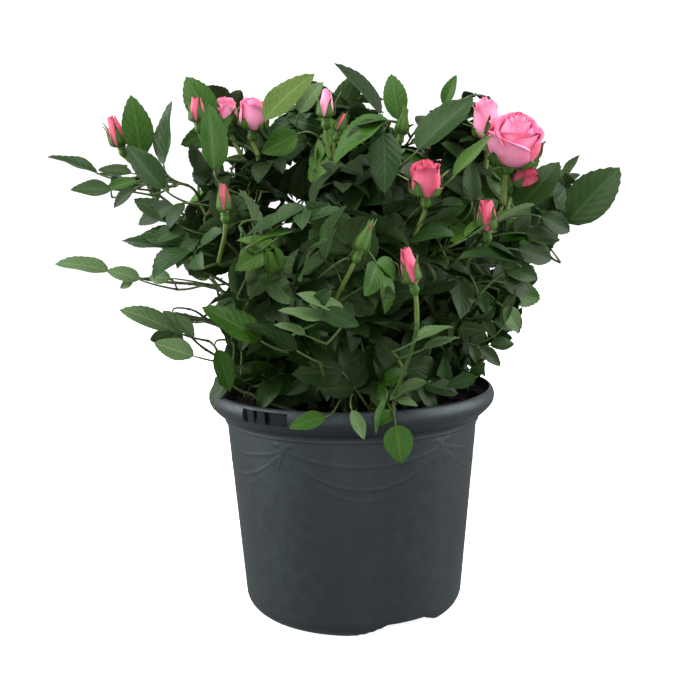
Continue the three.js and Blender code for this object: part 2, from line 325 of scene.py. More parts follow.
class Pile:
    """Shells of one kind gathered into a single mesh."""

    def __init__(self) -> None:
        """Starts empty."""
        self.points: list[Array] = []
        self.weaves: list[Weave] = []
        self.finishes: list[Array] = []
        self.count = 0

    def add(self, points: Array, weave: Weave, front: int = 0, back: int | None = None) -> None:
        """Adds one shell.

        Args:
            points: Its points, one a row.
            weave: How they are joined.
            front: The number of the finish on its front.
            back: The number of the finish on its back, if that differs.
        """
        self.points.append(points)
        self.weaves.append(weave)
        self.finishes.append(np.where(weave.behind, front if back is None else back, front).astype(np.int32))
        self.count += len(points)

    def turned(self, points: Array, faces: list[list[int]], painted_shade: Sequence[bool]) -> None:
        """Adds a turned solid, whose faces take finish 1 where they carry painted shade and finish 0
        elsewhere.
        """
        count = len(points)
        self.add(points, weave_of(faces, painted_shade, np.zeros(count, bool), np.zeros((count, 2))), 0, 1)

    def tube(self, line: Array, radii: Array | float, sides: int, finish: int = 0) -> None:
        """Adds a round bar along a line.

        Args:
            line: The middle of each ring.
            radii: Each ring's radius, or one for all.
            sides: How many points in each ring.
            finish: The number of its finish.
        """
        headings = np.gradient(line, axis=0)
        side = square_to(unit(headings[0]), vec(0.31, 0.85, 0.43))
        angles = np.arange(sides) * 2 * np.pi / sides
        sizes = np.broadcast_to(np.asarray(radii, float), (len(line),))
        rings = []
        for centre, heading, size in zip(line, headings, sizes):
            heading = unit(heading)
            side = square_to(heading, side)
            other = np.cross(heading, side)
            rings.append(centre + size * (np.cos(angles)[:, None] * side + np.sin(angles)[:, None] * other))
        self.add(np.vstack(rings), tube_weave(len(line), sides), finish)

    def sheet(self, front: Array, thickness: float, finish: int, back: int, stride: int = 1) -> None:
        """Adds a thin sheet.

        Args:
            front: The front's points, in rows and columns, with its face towards the rows crossed with the
                columns.
            thickness: How thick it is away from its edge.
            finish: The number of the front's finish.
            back: The number of the back's finish.
            stride: The back keeps every stride-th column.
        """
        rows, columns = front.shape[:2]
        along = front[2:, 1:-1] - front[:-2, 1:-1]
        across = front[1:-1, 2:] - front[1:-1, :-2]
        face = np.cross(along, across)
        face /= np.maximum(np.linalg.norm(face, axis=-1, keepdims=True), 1e-9)
        rear = (front[1:-1, 1:-1] - face * thickness)[:, stride - 1 :: stride]
        points = np.concatenate([front.reshape(-1, 3), rear.reshape(-1, 3)])
        self.add(points, sheet_weave(rows, columns, stride), finish, back)

    def build(self, name: str, finishes: Sequence[Material], tiled: bool = False) -> Piece:
        """Makes the mesh.

        Args:
            name: The piece's name.
            finishes: Its materials, in the order of their numbers.
            tiled: Whether the skin is laid out too, with one tile for each finish.

        Returns:
            The new object, in metres.
        """
        starts = np.cumsum([0] + [len(p) for p in self.points[:-1]])
        corners = np.concatenate([w.corners + s for w, s in zip(self.weaves, starts)])
        sizes = np.concatenate([w.sizes for w in self.weaves])
        finish_of = np.concatenate(self.finishes)
        rim = np.concatenate([w.rim for w in self.weaves])
        mesh = bpy.data.meshes.new(name)
        mesh.vertices.add(self.count)
        mesh.vertices.foreach_set("co", (np.vstack(self.points) * MM).astype(np.float32).ravel())
        mesh.loops.add(len(corners))
        mesh.loops.foreach_set("vertex_index", corners.astype(np.int32))
        mesh.polygons.add(len(sizes))
        mesh.polygons.foreach_set("loop_start", (np.cumsum(sizes) - sizes).astype(np.int32))
        mesh.polygons.foreach_set("material_index", finish_of)
        mesh.polygons.foreach_set("use_smooth", np.ones(len(sizes), bool))
        mesh.update(calc_edges=True)
        ends = np.empty(2 * len(mesh.edges), np.int32)
        mesh.edges.foreach_get("vertices", ends)
        sharp = mesh.attributes.new("sharp_edge", "BOOLEAN", "EDGE")
        sharp.data.foreach_set("value", rim[ends.reshape(-1, 2)].all(axis=1))
        if tiled:
            skin = np.concatenate([w.skin for w in self.weaves])[corners]
            mesh.uv_layers.new(name="Skin").uv.foreach_set("vector", skin.astype(np.float32).ravel())
            tiles = math.ceil(math.sqrt(len(finishes)))
            number = np.repeat(finish_of, sizes)
            tile = np.stack([number % tiles, number // tiles], 1)
            laid = (tile + 0.04 + 0.92 * skin) / tiles
            mesh.uv_layers.new(name="OFBake").uv.foreach_set("vector", laid.astype(np.float32).ravel())
            mesh.uv_layers.active = mesh.uv_layers["Skin"]
        for finish in finishes:
            mesh.materials.append(finish)
        piece = bpy.data.objects.new(name, mesh)
        bpy.context.scene.collection.objects.link(piece)
        log.info("%s: %d points, %d faces", name, self.count, len(sizes))
        return piece


# ---- finishes ----

Socket = bpy.types.NodeSocket
Material = bpy.types.Material
Shade = tuple[int, int, int]


def paint(shade: Shade) -> tuple[float, float, float, float]:
    """A shade of 0 to 255 red, green and blue as a shader's colour."""
    parts = [c / 255 for c in shade]
    linear = [c / 12.92 if c <= 0.04045 else ((c + 0.055) / 1.055) ** 2.4 for c in parts]
    return (linear[0], linear[1], linear[2], 1.0)


class Board:
    """A new material's nodes, laid out by short calls."""

    def __init__(self, name: str, **values: float) -> None:
        """Starts the material with its shader.

        Args:
            name: The material's name.
            values: The shader's sockets by name, in small letters with _ for a space.
        """
        self.material = bpy.data.materials.new(name)
        self.material.use_nodes = True
        self.nodes = self.material.node_tree.nodes
        self.links = self.material.node_tree.links
        self.nodes.clear()
        output = self.nodes.new("ShaderNodeOutputMaterial")
        self.shader = self.nodes.new("ShaderNodeBsdfPrincipled")
        self.links.new(self.shader.outputs[0], output.inputs[0])
        named = {socket.name.lower().replace(" ", "_"): socket for socket in self.shader.inputs}
        for key, value in values.items():
            named[key].default_value = value

    def node(self, kind: str, inputs: dict[str | int, object], **settings: object) -> bpy.types.Node:
        """Adds a node.

        Args:
            kind: Its type, without the leading ShaderNode.
            inputs: What goes into its sockets: another node's socket, or a plain value.
            settings: Its own properties.

        Returns:
            The node.
        """
        node = self.nodes.new(f"ShaderNode{kind}")
        for key, value in settings.items():
            setattr(node, key, value)
        for key, value in inputs.items():
            if isinstance(value, Socket):
                self.links.new(value, node.inputs[key])
            else:
                node.inputs[key].default_value = value
        return node

    def math(self, operation: str, first: Socket | float, second: Socket | float = 0.0) -> Socket:
        """The result of a sum on one or two values."""
        return self.node("Math", {0: first, 1: second}, operation=operation).outputs[0]

    def product(self, first: Socket | float, second: Socket | float) -> Socket:
        """One value times another."""
        return self.math("MULTIPLY", first, second)

    def span(self, value: Socket, low: float, high: float, start: float = 0.0, end: float = 1.0) -> Socket:
        """A value eased from start to end as the other one goes from low to high."""
        inputs = {"Value": value, "From Min": low, "From Max": high, "To Min": start, "To Max": end}
        return self.node("MapRange", inputs, interpolation_type="SMOOTHSTEP").outputs[0]

    def blend(self, share: Socket, first: Socket | tuple, second: Socket | tuple) -> Socket:
        """A colour between two others.

        Args:
            share: How much of the second there is, from 0 to 1.
            first: The colour where the share is 0.
            second: The colour where it is 1.

        Returns:
            The colour's socket.
        """
        node = self.node("Mix", {"Factor": share}, data_type="RGBA")
        for key, value in ((6, first), (7, second)):
            if isinstance(value, Socket):
                self.links.new(value, node.inputs[key])
            else:
                node.inputs[key].default_value = value
        return node.outputs[2]

    def noise(self, place: Socket, scale: float, detail: float = 3.0, roughness: float = 0.55) -> Socket:
        """A cloudy value from 0 to 1 over a place."""
        inputs = {"Vector": place, "Scale": scale, "Detail": detail, "Roughness": roughness}
        return self.node("TexNoise", inputs).outputs[0]

    def object_place(self, stretch: Sequence[float] = (1.0, 1.0, 1.0)) -> Socket:
        """Where a point is on the whole object, in metres, stretched along each axis."""
        place = self.node("TexCoord", {}).outputs["Object"]
        return self.node("Mapping", {"Vector": place, "Scale": tuple(stretch)}).outputs[0]

    def skin_place(self) -> Socket:
        """Where a point is on its own leaf's or petal's skin."""
        return self.node("UVMap", {}, uv_map="Skin").outputs[0]

    def colour(self, source: Socket) -> None:
        """Gives the shader its base colour."""
        self.links.new(source, self.shader.inputs["Base Color"])

    def gloss(self, source: Socket) -> None:
        """Gives the shader its roughness."""
        self.links.new(source, self.shader.inputs["Roughness"])

    def relief(self, height: Socket, depth: float, strength: float = 1.0) -> None:
        """Gives the surface a fine relief.

        Args:
            height: The relief's height, from 0 to 1.
            depth: How deep it is, in millimetres.
            strength: How strongly it shows.
        """
        bump = self.node("Bump", {"Height": height, "Strength": strength, "Distance": depth * MM})
        self.links.new(bump.outputs[0], self.shader.inputs["Normal"])


@dataclass(frozen=True)
class MouldedPlastic:
    """Recycled plastic with a fine grain, faint flow marks and a little dust."""

    name: str = "moulded_plastic"
    body: Shade = (18, 24, 28)
    dusty: Shade = (31, 39, 43)
    sheen: tuple[float, float, float, float] = (0.86, 0.98, 1.0, 1.0)
    grain: float = 0.05

    def material(self) -> Material:
        """Lays out the finish's nodes.

        Returns:
            The finish as a material.
        """
        board = Board(self.name, specular_ior_level=0.6, specular_tint=self.sheen)
        place = board.object_place()
        cloud = board.noise(place, 16.0, 5.0, 0.62)
        flow = board.noise(board.object_place((60.0, 60.0, 7.0)), 1.0, 4.0)
        dust = board.product(board.span(cloud, 0.4, 0.75), board.span(flow, 0.3, 0.8))
        board.colour(board.blend(dust, paint(self.body), paint(self.dusty)))
        board.gloss(board.span(board.noise(place, 130.0), 0.25, 0.8, 0.44, 0.6))
        pits = board.noise(place, 1500.0, 2.0)
        dents = board.noise(place, 90.0, 3.0)
        board.relief(board.math("ADD", pits, board.product(dents, 3.0)), self.grain)
        return board.material


@dataclass(frozen=True)
class Crumb:
    """Dark, damp peat and bark crumbs."""

    dark: Shade = (24, 17, 13)
    light: Shade = (66, 49, 36)

    def material(self) -> Material:
        """Lays out the finish's nodes.

        Returns:
            The finish as a material.
        """
        board = Board("potting_mix", roughness=0.92, specular_ior_level=0.25)
        place = board.object_place()
        coarse = board.noise(place, 170.0, 6.0, 0.7)
        fine = board.noise(place, 900.0, 3.0, 0.7)
        share = board.product(board.span(coarse, 0.4, 0.75), board.span(fine, 0.3, 0.7))
        board.colour(board.blend(share, paint(self.dark), paint(self.light)))
        board.relief(board.math("ADD", coarse, fine), 0.7)
        return board.material


@dataclass(frozen=True)
class Rind:
    """The skin of a stem, streaked along its length."""

    name: str
    main: Shade
    streak: Shade
    scale: float = 420.0
    depth: float = 0.16
    roughness: float = 0.52

    def material(self) -> Material:
        """Lays out the finish's nodes.

        Returns:
            The finish as a material.
        """
        board = Board(self.name, roughness=self.roughness, specular_ior_level=0.4)
        streaks = board.noise(board.object_place((1.0, 1.0, 0.16)), self.scale, 4.0, 0.6)
        patches = board.noise(board.object_place(), 38.0, 3.0)
        share = board.product(board.span(streaks, 0.42, 0.7), board.span(patches, 0.32, 0.62))
        board.colour(board.blend(share, paint(self.main), paint(self.streak)))
        board.relief(streaks, self.depth)
        return board.material


@dataclass(frozen=True)
class LeafSkin:
    """One side of a leaflet, with its midrib, side veins and the swelling between them."""

    name: str
    blade: Shade
    vein: Shade
    gloss: float = 0.42
    veins: float = 7.0
    slant: float = 0.33
    side_share: float = 0.34
    relief: float = 0.08
    sheen: tuple[float, float, float, float] = (0.84, 1.0, 0.7, 1.0)

    def material(self) -> Material:
        """Lays out the finish's nodes.

        Returns:
            The finish as a material.
        """
        board = Board(self.name, roughness=self.gloss, specular_ior_level=0.24, specular_tint=self.sheen)
        skin = board.skin_place()
        split = board.node("SeparateXYZ", {0: skin}).outputs
        aside = board.product(board.math("ABSOLUTE", board.math("SUBTRACT", split[1], 0.5)), 2.0)
        lag = board.product(board.math("POWER", aside, 0.8), self.slant)
        phase = board.product(board.math("SUBTRACT", split[0], lag), self.veins)
        swell = board.math("PINGPONG", phase, 0.5)
        side_vein = board.span(swell, 0.03, 0.17, 1.0, 0.0)
        side_vein = board.product(side_vein, board.span(aside, 0.75, 1.0, 1.0, 0.0))
        midrib = board.span(aside, 0.03, 0.11, 1.0, 0.0)
        lines = board.math("MAXIMUM", midrib, board.product(side_vein, self.side_share))
        mottle = board.noise(board.node("Mapping", {0: skin, 3: (2.0, 1.0, 1.0)}).outputs[0], 7.0, 4.0)
        deep = tuple(c * 0.8 for c in paint(self.blade)[:3]) + (1.0,)
        blade = board.blend(board.span(mottle, 0.3, 0.7), deep, paint(self.blade))
        board.colour(board.blend(lines, blade, paint(self.vein)))
        pillow = board.product(board.span(swell, 0.0, 0.4), board.span(aside, 0.0, 0.2))
        board.relief(board.math("ADD", pillow, board.product(mottle, 0.3)), self.relief)
        return board.material


@dataclass(frozen=True)
class PetalSkin:
    """A petal, paler at its claw, with faint veins that fan out to its edge."""

    name: str
    edge: Shade
    claw: Shade
    flush: Shade

    def material(self) -> Material:
        """Lays out the finish's nodes.

        Returns:
            The finish as a material.
        """
        board = Board(self.name, roughness=0.55, specular_ior_level=0.25, sheen_weight=0.12)
        skin = board.skin_place()
        split = board.node("SeparateXYZ", {0: skin}).outputs
        veins = board.noise(board.node("Mapping", {0: skin, 3: (1.5, 26.0, 1.0)}).outputs[0], 1.0, 3.0)
        cloud = board.noise(board.node("Mapping", {0: skin, 3: (1.2, 1.6, 1.0)}).outputs[0], 1.6, 2.0)
        petal = board.blend(board.span(cloud, 0.35, 0.7), paint(self.edge), paint(self.flush))
        streaked = board.blend(board.span(veins, 0.45, 0.8, 0.0, 0.35), petal, paint(self.flush))
        board.colour(board.blend(board.span(split[0], 0.02, 0.42), paint(self.claw), streaked))
        board.relief(veins, 0.08)
        return board.material


@dataclass(frozen=True)
class StudioPaper:
    """Seamless white paper, lit so that only a soft shadow shows on it."""

    shade: Shade = (236, 236, 236)
    glow: float = 0.86

    def material(self) -> Material:
        """Lays out the finish's nodes.

        Returns:
            The finish as a material.
        """
        white = (1.0, 1.0, 1.0, 1.0)
        board = Board("studio_paper", roughness=0.9, emission_color=white, emission_strength=self.glow)
        fibres = board.noise(board.object_place(), 260.0)
        board.colour(board.blend(fibres, paint(self.shade), white))
        return board.material


def shine_box(name: str) -> Material:
    """A plain white glow, for the far backdrop."""
    board = Board(name, emission_color=(1.0, 1.0, 1.0, 1.0), emission_strength=1.2)
    board.shader.inputs["Base Color"].default_value = (0.0, 0.0, 0.0, 1.0)
    return board.material


# ---- the pot ----


@dataclass
class Swags:
    """Five festoons moulded in low relief round the pot, just under its collar, each tied at two bows."""

    count: int = 5
    first: float = -30.3
    knot_height: float = 122.5
    rope_drops: tuple[float, ...] = (8.5, 23.0, 30.0)
    rope_rise: tuple[float, ...] = (0.16, 0.2, 0.09)
    rope_width: float = 0.95
    bow_size: float = 4.2
    bow_rise: Triple = (0.4, 0.32, 0.28)

    def relief(self, azimuth: Array, height: Array, radius: float) -> Array:
        """How far the moulding stands out of the pot's wall.

        Args:
            azimuth: Azimuths in degrees.
            height: Heights, of a shape that goes with the azimuths.
            radius: The wall's radius, which turns degrees into lengths.

        Returns:
            The relief at each point, in millimetres.
        """
        pitch = 360.0 / self.count
        per_degree = math.radians(1.0) * radius
        swing = np.mod(azimuth - self.first, pitch) / pitch
        sag = 4.0 * swing * (1.0 - swing)
        relief = np.zeros(np.broadcast(azimuth, height).shape)
        for drop, rise in zip(self.rope_drops, self.rope_rise):
            line = self.knot_height - drop * sag**0.85
            relief = np.maximum(relief, rise * np.exp(-(((height - line) / self.rope_width) ** 2)))
        aside = (np.minimum(swing, 1.0 - swing) * pitch) * per_degree
        below = self.knot_height - height
        knot = np.exp(-((aside / 2.2) ** 2) - (below / 2.6) ** 2)
        loops = np.exp(-(((aside - self.bow_size) / 2.4) ** 2) - ((below + 2.2 + 0.2 * aside) / 1.3) ** 2)
        tails = np.exp(-(((aside - 0.42 * below) / 1.2) ** 2))
        tails = tails * ease(1.0, 3.0, below) * (1 - ease(9.0, 14.0, below))
        bow = [rise * shape for rise, shape in zip(self.bow_rise, (knot, loops, tails))]
        return np.maximum.reduce([relief, *bow])


@dataclass(frozen=True)
class Step:
    """One sunk or raised panel of a handle socket.

    Attributes:
        start: Where it starts, in degrees from the socket's middle.
        end: Where it ends.
        low: The height of its lower edge.
        high: The height of its upper edge.
        radius: How far its face is from the pot's axis.
    """

    start: float
    end: float
    low: float
    high: float
    radius: float


@dataclass
class HandleSocket:
    """A tray in the collar, just under its lip, whose slots take the hooks of a carrying handle."""

    azimuths: tuple[float, float] = (-34.0, 146.0)
    steps: tuple[Step, ...] = (
        Step(-10.2, 10.2, 140.0, 148.0, 92.6),
        Step(-10.2, -9.2, 141.2, 148.0, 91.8),
        Step(-9.2, -5.4, 140.0, 148.0, 93.4),
        Step(-5.4, -4.2, 142.6, 147.0, 91.6),
        Step(-0.4, 0.4, 140.0, 147.4, 94.1),
        Step(0.4, 1.7, 141.6, 147.0, 91.6),
    )
    pad: Step = Step(-11.7, 11.7, 141.3, 148.6, 88.6)
    edge: float = 0.1
    lean: float = 0.1

    def azimuth_lines(self) -> list[float]:
        """Azimuths just inside and outside each upright edge, where the pot's mesh needs lines."""
        sides = {side for step in (*self.steps, self.pad) for side in (step.start, step.end)}
        nudges = (-self.edge, self.edge)
        return [centre + side + nudge for centre in self.azimuths for side in sides for nudge in nudges]

    def height_lines(self, steps: Iterable[Step]) -> list[float]:
        """Heights just inside and outside each level edge of some panels."""
        nudges = (-self.edge, self.edge)
        return sorted({z + nudge for step in steps for z in (step.low, step.high) for nudge in nudges})

    def inside(self, azimuth: Array, height: Array) -> Array:
        """Which points are in either tray.

        Args:
            azimuth: Azimuths in degrees.
            height: Heights, of a shape that goes with the azimuths.

        Returns:
            True for each point that is.
        """
        tray = self.steps[0]
        asides = [aside_of(azimuth, centre) for centre in self.azimuths]
        wide = np.any([np.abs(aside) < tray.end for aside in asides], axis=0)
        return wide & (height > tray.low) & (height < tray.high)

    def carve(
        self, steps: Iterable[Step], azimuth: Array, height: Array, radius: Array
    ) -> Array:
        """The collar's radius with some panels of both sockets sunk into it.

        Args:
            steps: The panels, of which later ones replace earlier ones.
            azimuth: Azimuths in degrees.
            height: Heights, of a shape that goes with the azimuths.
            radius: The collar's radius at each point.

        Returns:
            The carved radius.
        """
        carved = radius.copy()
        for step in steps:
            for centre in self.azimuths:
                aside = aside_of(azimuth, centre)
                across = (aside > step.start) & (aside < step.end)
                within = across & (height > step.low) & (height < step.high)
                face = step.radius - self.lean * (step.high - height)
                carved = np.where(within, np.minimum(radius, face), carved)
        return carved


@dataclass
class Pot:
    """The nursery pot: a tapered tub on an arched foot, with a swelling collar."""

    collar_height: float = 21.5
    body_top: float = 83.5
    body_foot: float = 73.5
    foot_round: float = 12.0
    wall: float = 1.9
    floor_height: float = 11.0
    floor_thick: float = 1.8
    arch_azimuths: tuple[float, float] = (27.0, 207.0)
    arch_half: float = 40.0
    arch_height: float = 9.5
    arch_reach: float = 14.0
    arch_inside: float = 55.0
    arch_spread: float = 80.0
    mesh_step: float = 0.9
    crease: float = 42.0
    floor_rings: tuple[float, ...] = (0, 20, 36, 48)
    swags: Swags = field(default_factory=Swags)
    socket: HandleSocket = field(default_factory=HandleSocket)

    def __post_init__(self) -> None:
        """Takes the pot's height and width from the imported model."""
        _, high = box_of("pot")
        self.height = float(high[2])
        self.rim = float(high[0])
        self.collar_foot = self.height - self.collar_height

    def body_radius(self, z: float) -> float:
        """The outer wall's radius between the foot and the collar."""
        share = (z - self.foot_round) / (self.collar_foot - self.foot_round)
        return self.body_foot + (self.body_top - self.body_foot) * share

    def collar_line(self) -> Array:
        """The collar's section from its lower edge to the top of the lip, as distances and heights."""
        shape = ((10.9, 0.0), (10.1, 0.6), (9.6, 3.8), (5.4, 7.0), (1.1, 11.8))
        shape += ((0.0, 16.0), (0.9, 19.6), (2.4, 21.3), (3.2, 21.5))
        return smooth_line([(self.rim - inwards, self.collar_foot + up) for inwards, up in shape], 0.9)

    def outer_line(self) -> Array:
        """The outer section from the ground to the top of the lip.

        Returns:
            Rows of distance and height.
        """
        foot_edge = self.body_foot - self.foot_round
        bend = np.radians(np.linspace(-90, 0, 9))
        out, up = foot_edge + self.foot_round * np.cos(bend), self.foot_round * (1 + np.sin(bend))
        foot = np.stack([out, up], 1)
        plain = np.arange(14.0, 86.0, 3.0)
        carved = np.arange(86.0, self.collar_foot - 0.2, 0.68)
        heights = np.concatenate([plain, carved, [self.collar_foot - 0.15]])
        body = np.array([(self.body_radius(z), z) for z in heights])
        return np.vstack([foot, body, self.collar_line()])

    def section(self) -> Array:
        """The whole section, from the middle of the floor's underside round to the middle of its top.

        Returns:
            Rows of distance and height.
        """
        top = self.floor_height + self.floor_thick
        foot_edge = self.body_foot - self.foot_round
        collar = self.collar_line()
        extra = self.socket.height_lines(self.socket.steps)
        extra_radii = np.interp(extra, collar[:, 1], collar[:, 0])
        outer = np.vstack([self.outer_line(), np.stack([extra_radii, extra], 1)])
        outer = outer[np.argsort(outer[:, 1], kind="stable")]
        under = [(distance, self.floor_height) for distance in self.floor_rings]
        under += [(self.body_radius(self.floor_height) - self.wall - 0.6, self.floor_height)]
        under += [(foot_edge + 3.4, 3.4), (foot_edge - self.wall, 0.2)]
        inner_lip = [(1.0, 20.6), (0.0, 16.6), (1.1, 12.4), (5.4, 7.6), (9.7, 4.6)]
        lining = np.array([(self.rim - x - self.wall - 0.4, self.collar_foot + z) for x, z in inner_lip])
        rungs = self.socket.height_lines([self.socket.pad])
        rung_radii = np.interp(rungs, lining[::-1, 1], lining[::-1, 0])
        lining = np.vstack([lining, np.stack([rung_radii, rungs], 1)])
        lining = lining[np.argsort(-lining[:, 1], kind="stable")]
        inner = [(self.body_top - self.wall, self.collar_foot - 1.0)]
        inner += [(self.body_radius(top + 3) - self.wall, top + 3)]
        inner += [(self.body_radius(top) - self.wall - 4, top)]
        inner += [(distance, top) for distance in reversed(self.floor_rings)]
        lining = np.vstack([lining, inner])
        return np.vstack([under, outer, lining])

    def azimuth_lines(self) -> Array:
        """The azimuths of the mesh's upright lines, with extra ones at the sockets' edges."""
        even = set(np.round(np.arange(0.0, 360.0, self.mesh_step), 3))
        return np.array(sorted(even | {round(a % 360.0, 3) for a in self.socket.azimuth_lines()}))

    def arch_lift(self, azimuth: Array, radius: Array) -> Array:
        """How far the foot is lifted by its two arches.

        Args:
            azimuth: Azimuths in degrees.
            radius: Distances from the pot's axis, of a shape that goes with the azimuths.

        Returns:
            The lift at each point.
        """
        lift = np.zeros(np.broadcast(azimuth, radius).shape)
        for centre in self.arch_azimuths:
            aside = aside_of(azimuth, centre)
            swing = np.sin(np.radians(np.clip(aside, -self.arch_spread, self.arch_spread)))
            s = np.clip(swing * np.maximum(radius, self.arch_inside) / self.arch_half, -1, 1)
            hump = self.arch_height * np.minimum(1.0, 1.3 * (0.5 + 0.5 * np.cos(np.pi * s)))
            lift = np.maximum(lift, np.where(np.abs(aside) < self.arch_spread, hump, 0.0))
        return lift

    def build(self) -> Piece:
        """Makes the pot.

        Returns:
            The pot's object.
        """
        section = self.section()
        azimuth = self.azimuth_lines()[None, :]
        radius = np.repeat(section[1:-1, :1], azimuth.shape[1], axis=1)
        height = np.repeat(section[1:-1, 1:], azimuth.shape[1], axis=1)
        first = len(self.floor_rings) + 2
        last = first + len(self.outer_line()) + len(self.socket.height_lines(self.socket.steps))
        row = np.arange(len(section) - 2)[:, None]
        outer = (row >= first) & (row < last)
        body = outer & (height < self.collar_foot)
        radius = radius + np.where(body, self.swags.relief(azimuth, height, self.body_top), 0.0)
        sunk = self.socket.carve(self.socket.steps, azimuth, height, radius)
        padded = self.socket.carve([self.socket.pad], azimuth, height, radius)
        radius = np.where(outer, sunk, np.where(row >= last, padded, radius))
        low = (height < self.arch_reach) & (radius > self.arch_inside)
        lift = self.arch_lift(azimuth, radius)
        height = np.where(low, np.maximum(height, lift), height)
        angle = np.radians(azimuth)
        grid = np.stack([radius * np.sin(angle), -radius * np.cos(angle), height], -1)
        rows, columns = grid.shape[:2]
        points = np.vstack([grid.reshape(-1, 3), [0, 0, section[0][1]], [0, 0, section[-1][1]]])
        # The faces in the sockets' trays take a darker copy of the plastic: painted shade for the recesses.
        tray = outer & self.socket.inside(azimuth, section[1:-1, 1:])
        faces = turned_faces(rows, columns)
        painted_shade_faces = (tray[:-1] & np.roll(tray[1:], -1, axis=1)).ravel().tolist()
        painted_shade_faces += [False] * (len(faces) - len(painted_shade_faces))
        pile = Pile()
        pile.turned(points, faces, painted_shade_faces)
        # A darker, duller copy of the plastic, which paints the shade in the sockets' trays.
        painted_shade = MouldedPlastic("clean_plastic", (9, 11, 14), (16, 19, 23), (0.3, 0.34, 0.38, 1.0))
        piece = pile.build("pot_moulding", [MouldedPlastic().material(), painted_shade.material()])
        piece.data.set_sharp_from_angle(angle=math.radians(self.crease))
        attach(piece, BODY)
        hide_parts("pot")
        return piece


@dataclass
class PottingMix:
    """Peat and bark crumbs that fill the pot to just below its rim."""

    pot: Pot
    inset: float = 0.35
    lumps: int = 900
    rings: int = 64
    columns: int = 180
    relief: float = 1.6
    seed: int = 11

    def __post_init__(self) -> None:
        """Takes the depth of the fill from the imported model."""
        low, high = box_of("potting_mix")
        self.base = float(low[2])
        self.surface = float(high[2]) - self.relief

    def lift(self, x: Array, y: Array) -> Array:
        """How far the surface stands above or below its level.

        Args:
            x: Places from left to right.
            y: Places from front to back.

        Returns:
            The lift at each place.
        """
        wide = 0.5 * np.sin(x / 8.2 + y / 6.1) + 0.3 * np.sin(y / 4.8 - x / 9.5 + 1.3)
        fine = 0.28 * np.sin(x / 1.9 + 2.0 * np.sin(y / 3.1))
        fine = fine + 0.25 * np.sin(y / 1.6 - 1.7 * np.sin(x / 2.7))
        return self.relief * (wide + fine)

    def build(self) -> Piece:
        """Makes the fill and its crumbs.

        Returns:
            The potting mix's object.
        """
        rng = np.random.default_rng(self.seed)
        pot = self.pot
        edge = pot.rim - 7.0
        rings = [(edge * k / self.rings, self.surface) for k in range(1, self.rings + 1)]
        gap = pot.wall + self.inset
        side = [(edge - 1.4, self.surface - 3.6), (pot.body_top - gap, pot.collar_foot - 3.0)]
        side += [(pot.body_radius(self.base + 4) - gap, self.base + 4), (pot.body_foot - 12.0, self.base)]
        rows = np.array(rings + side)[::-1]
        angle = np.linspace(0, 2 * np.pi, self.columns, endpoint=False)
        x, y = rows[:, :1] * np.cos(angle), rows[:, :1] * np.sin(angle)
        on_top = rows[:, 1:] > self.surface - 0.1
        z = rows[:, 1:] + np.where(on_top, self.lift(x, y), 0.0)
        grid = np.stack([x, y, z], -1)
        top = [0, 0, self.surface + self.relief * 0.3]
        points = np.vstack([grid.reshape(-1, 3), [0, 0, self.base], top])
        faces = turned_faces(len(rows), self.columns)
        pile = Pile()
        pile.turned(points, faces, [False] * len(faces))
        for _ in range(self.lumps):
            distance = (edge - 2.0) * math.sqrt(rng.uniform(0.0, 1.0))
            middle = polar(rng.uniform(0, 360), distance, self.surface)
            middle[2] += float(self.lift(middle[0], middle[1])) + 0.2
            self.add_crumb(pile, middle, rng)
        piece = pile.build("potting_mix_fill", [Crumb().material()])
        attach(piece, BODY)
        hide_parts("potting_mix")
        return piece

    def add_crumb(self, pile: Pile, middle: Array, rng: Chance) -> None:
        """Adds one uneven crumb.

        Args:
            pile: Where it goes.
            middle: Its middle.
            rng: The source of its unevenness.
        """
        size = rng.uniform(0.7, 2.1)
        heading = unit(rng.normal(size=3) * vec(1, 1, 0.3))
        steps = np.linspace(-1, 1, 5)
        line = middle + steps[:, None] * heading * size * rng.uniform(1.0, 1.9)
        line += rng.normal(size=(5, 3)) * 0.15 * size
        radii = size * np.sqrt(1.08 - steps**2) * rng.uniform(0.55, 1.0, 5)
        pile.tube(line, radii, 6)


# ---- wood ----


@dataclass
class Limb:
    """A cane, bough or twig.

    Attributes:
        line: Points along its middle, one a row.
        radii: Its radius at each.
    """

    line: Array
    radii: Array

    def headings(self) -> Array:
        """The direction of growth at each point."""
        steps = np.gradient(self.line, axis=0)
        return steps / np.maximum(np.linalg.norm(steps, axis=1, keepdims=True), 1e-9)


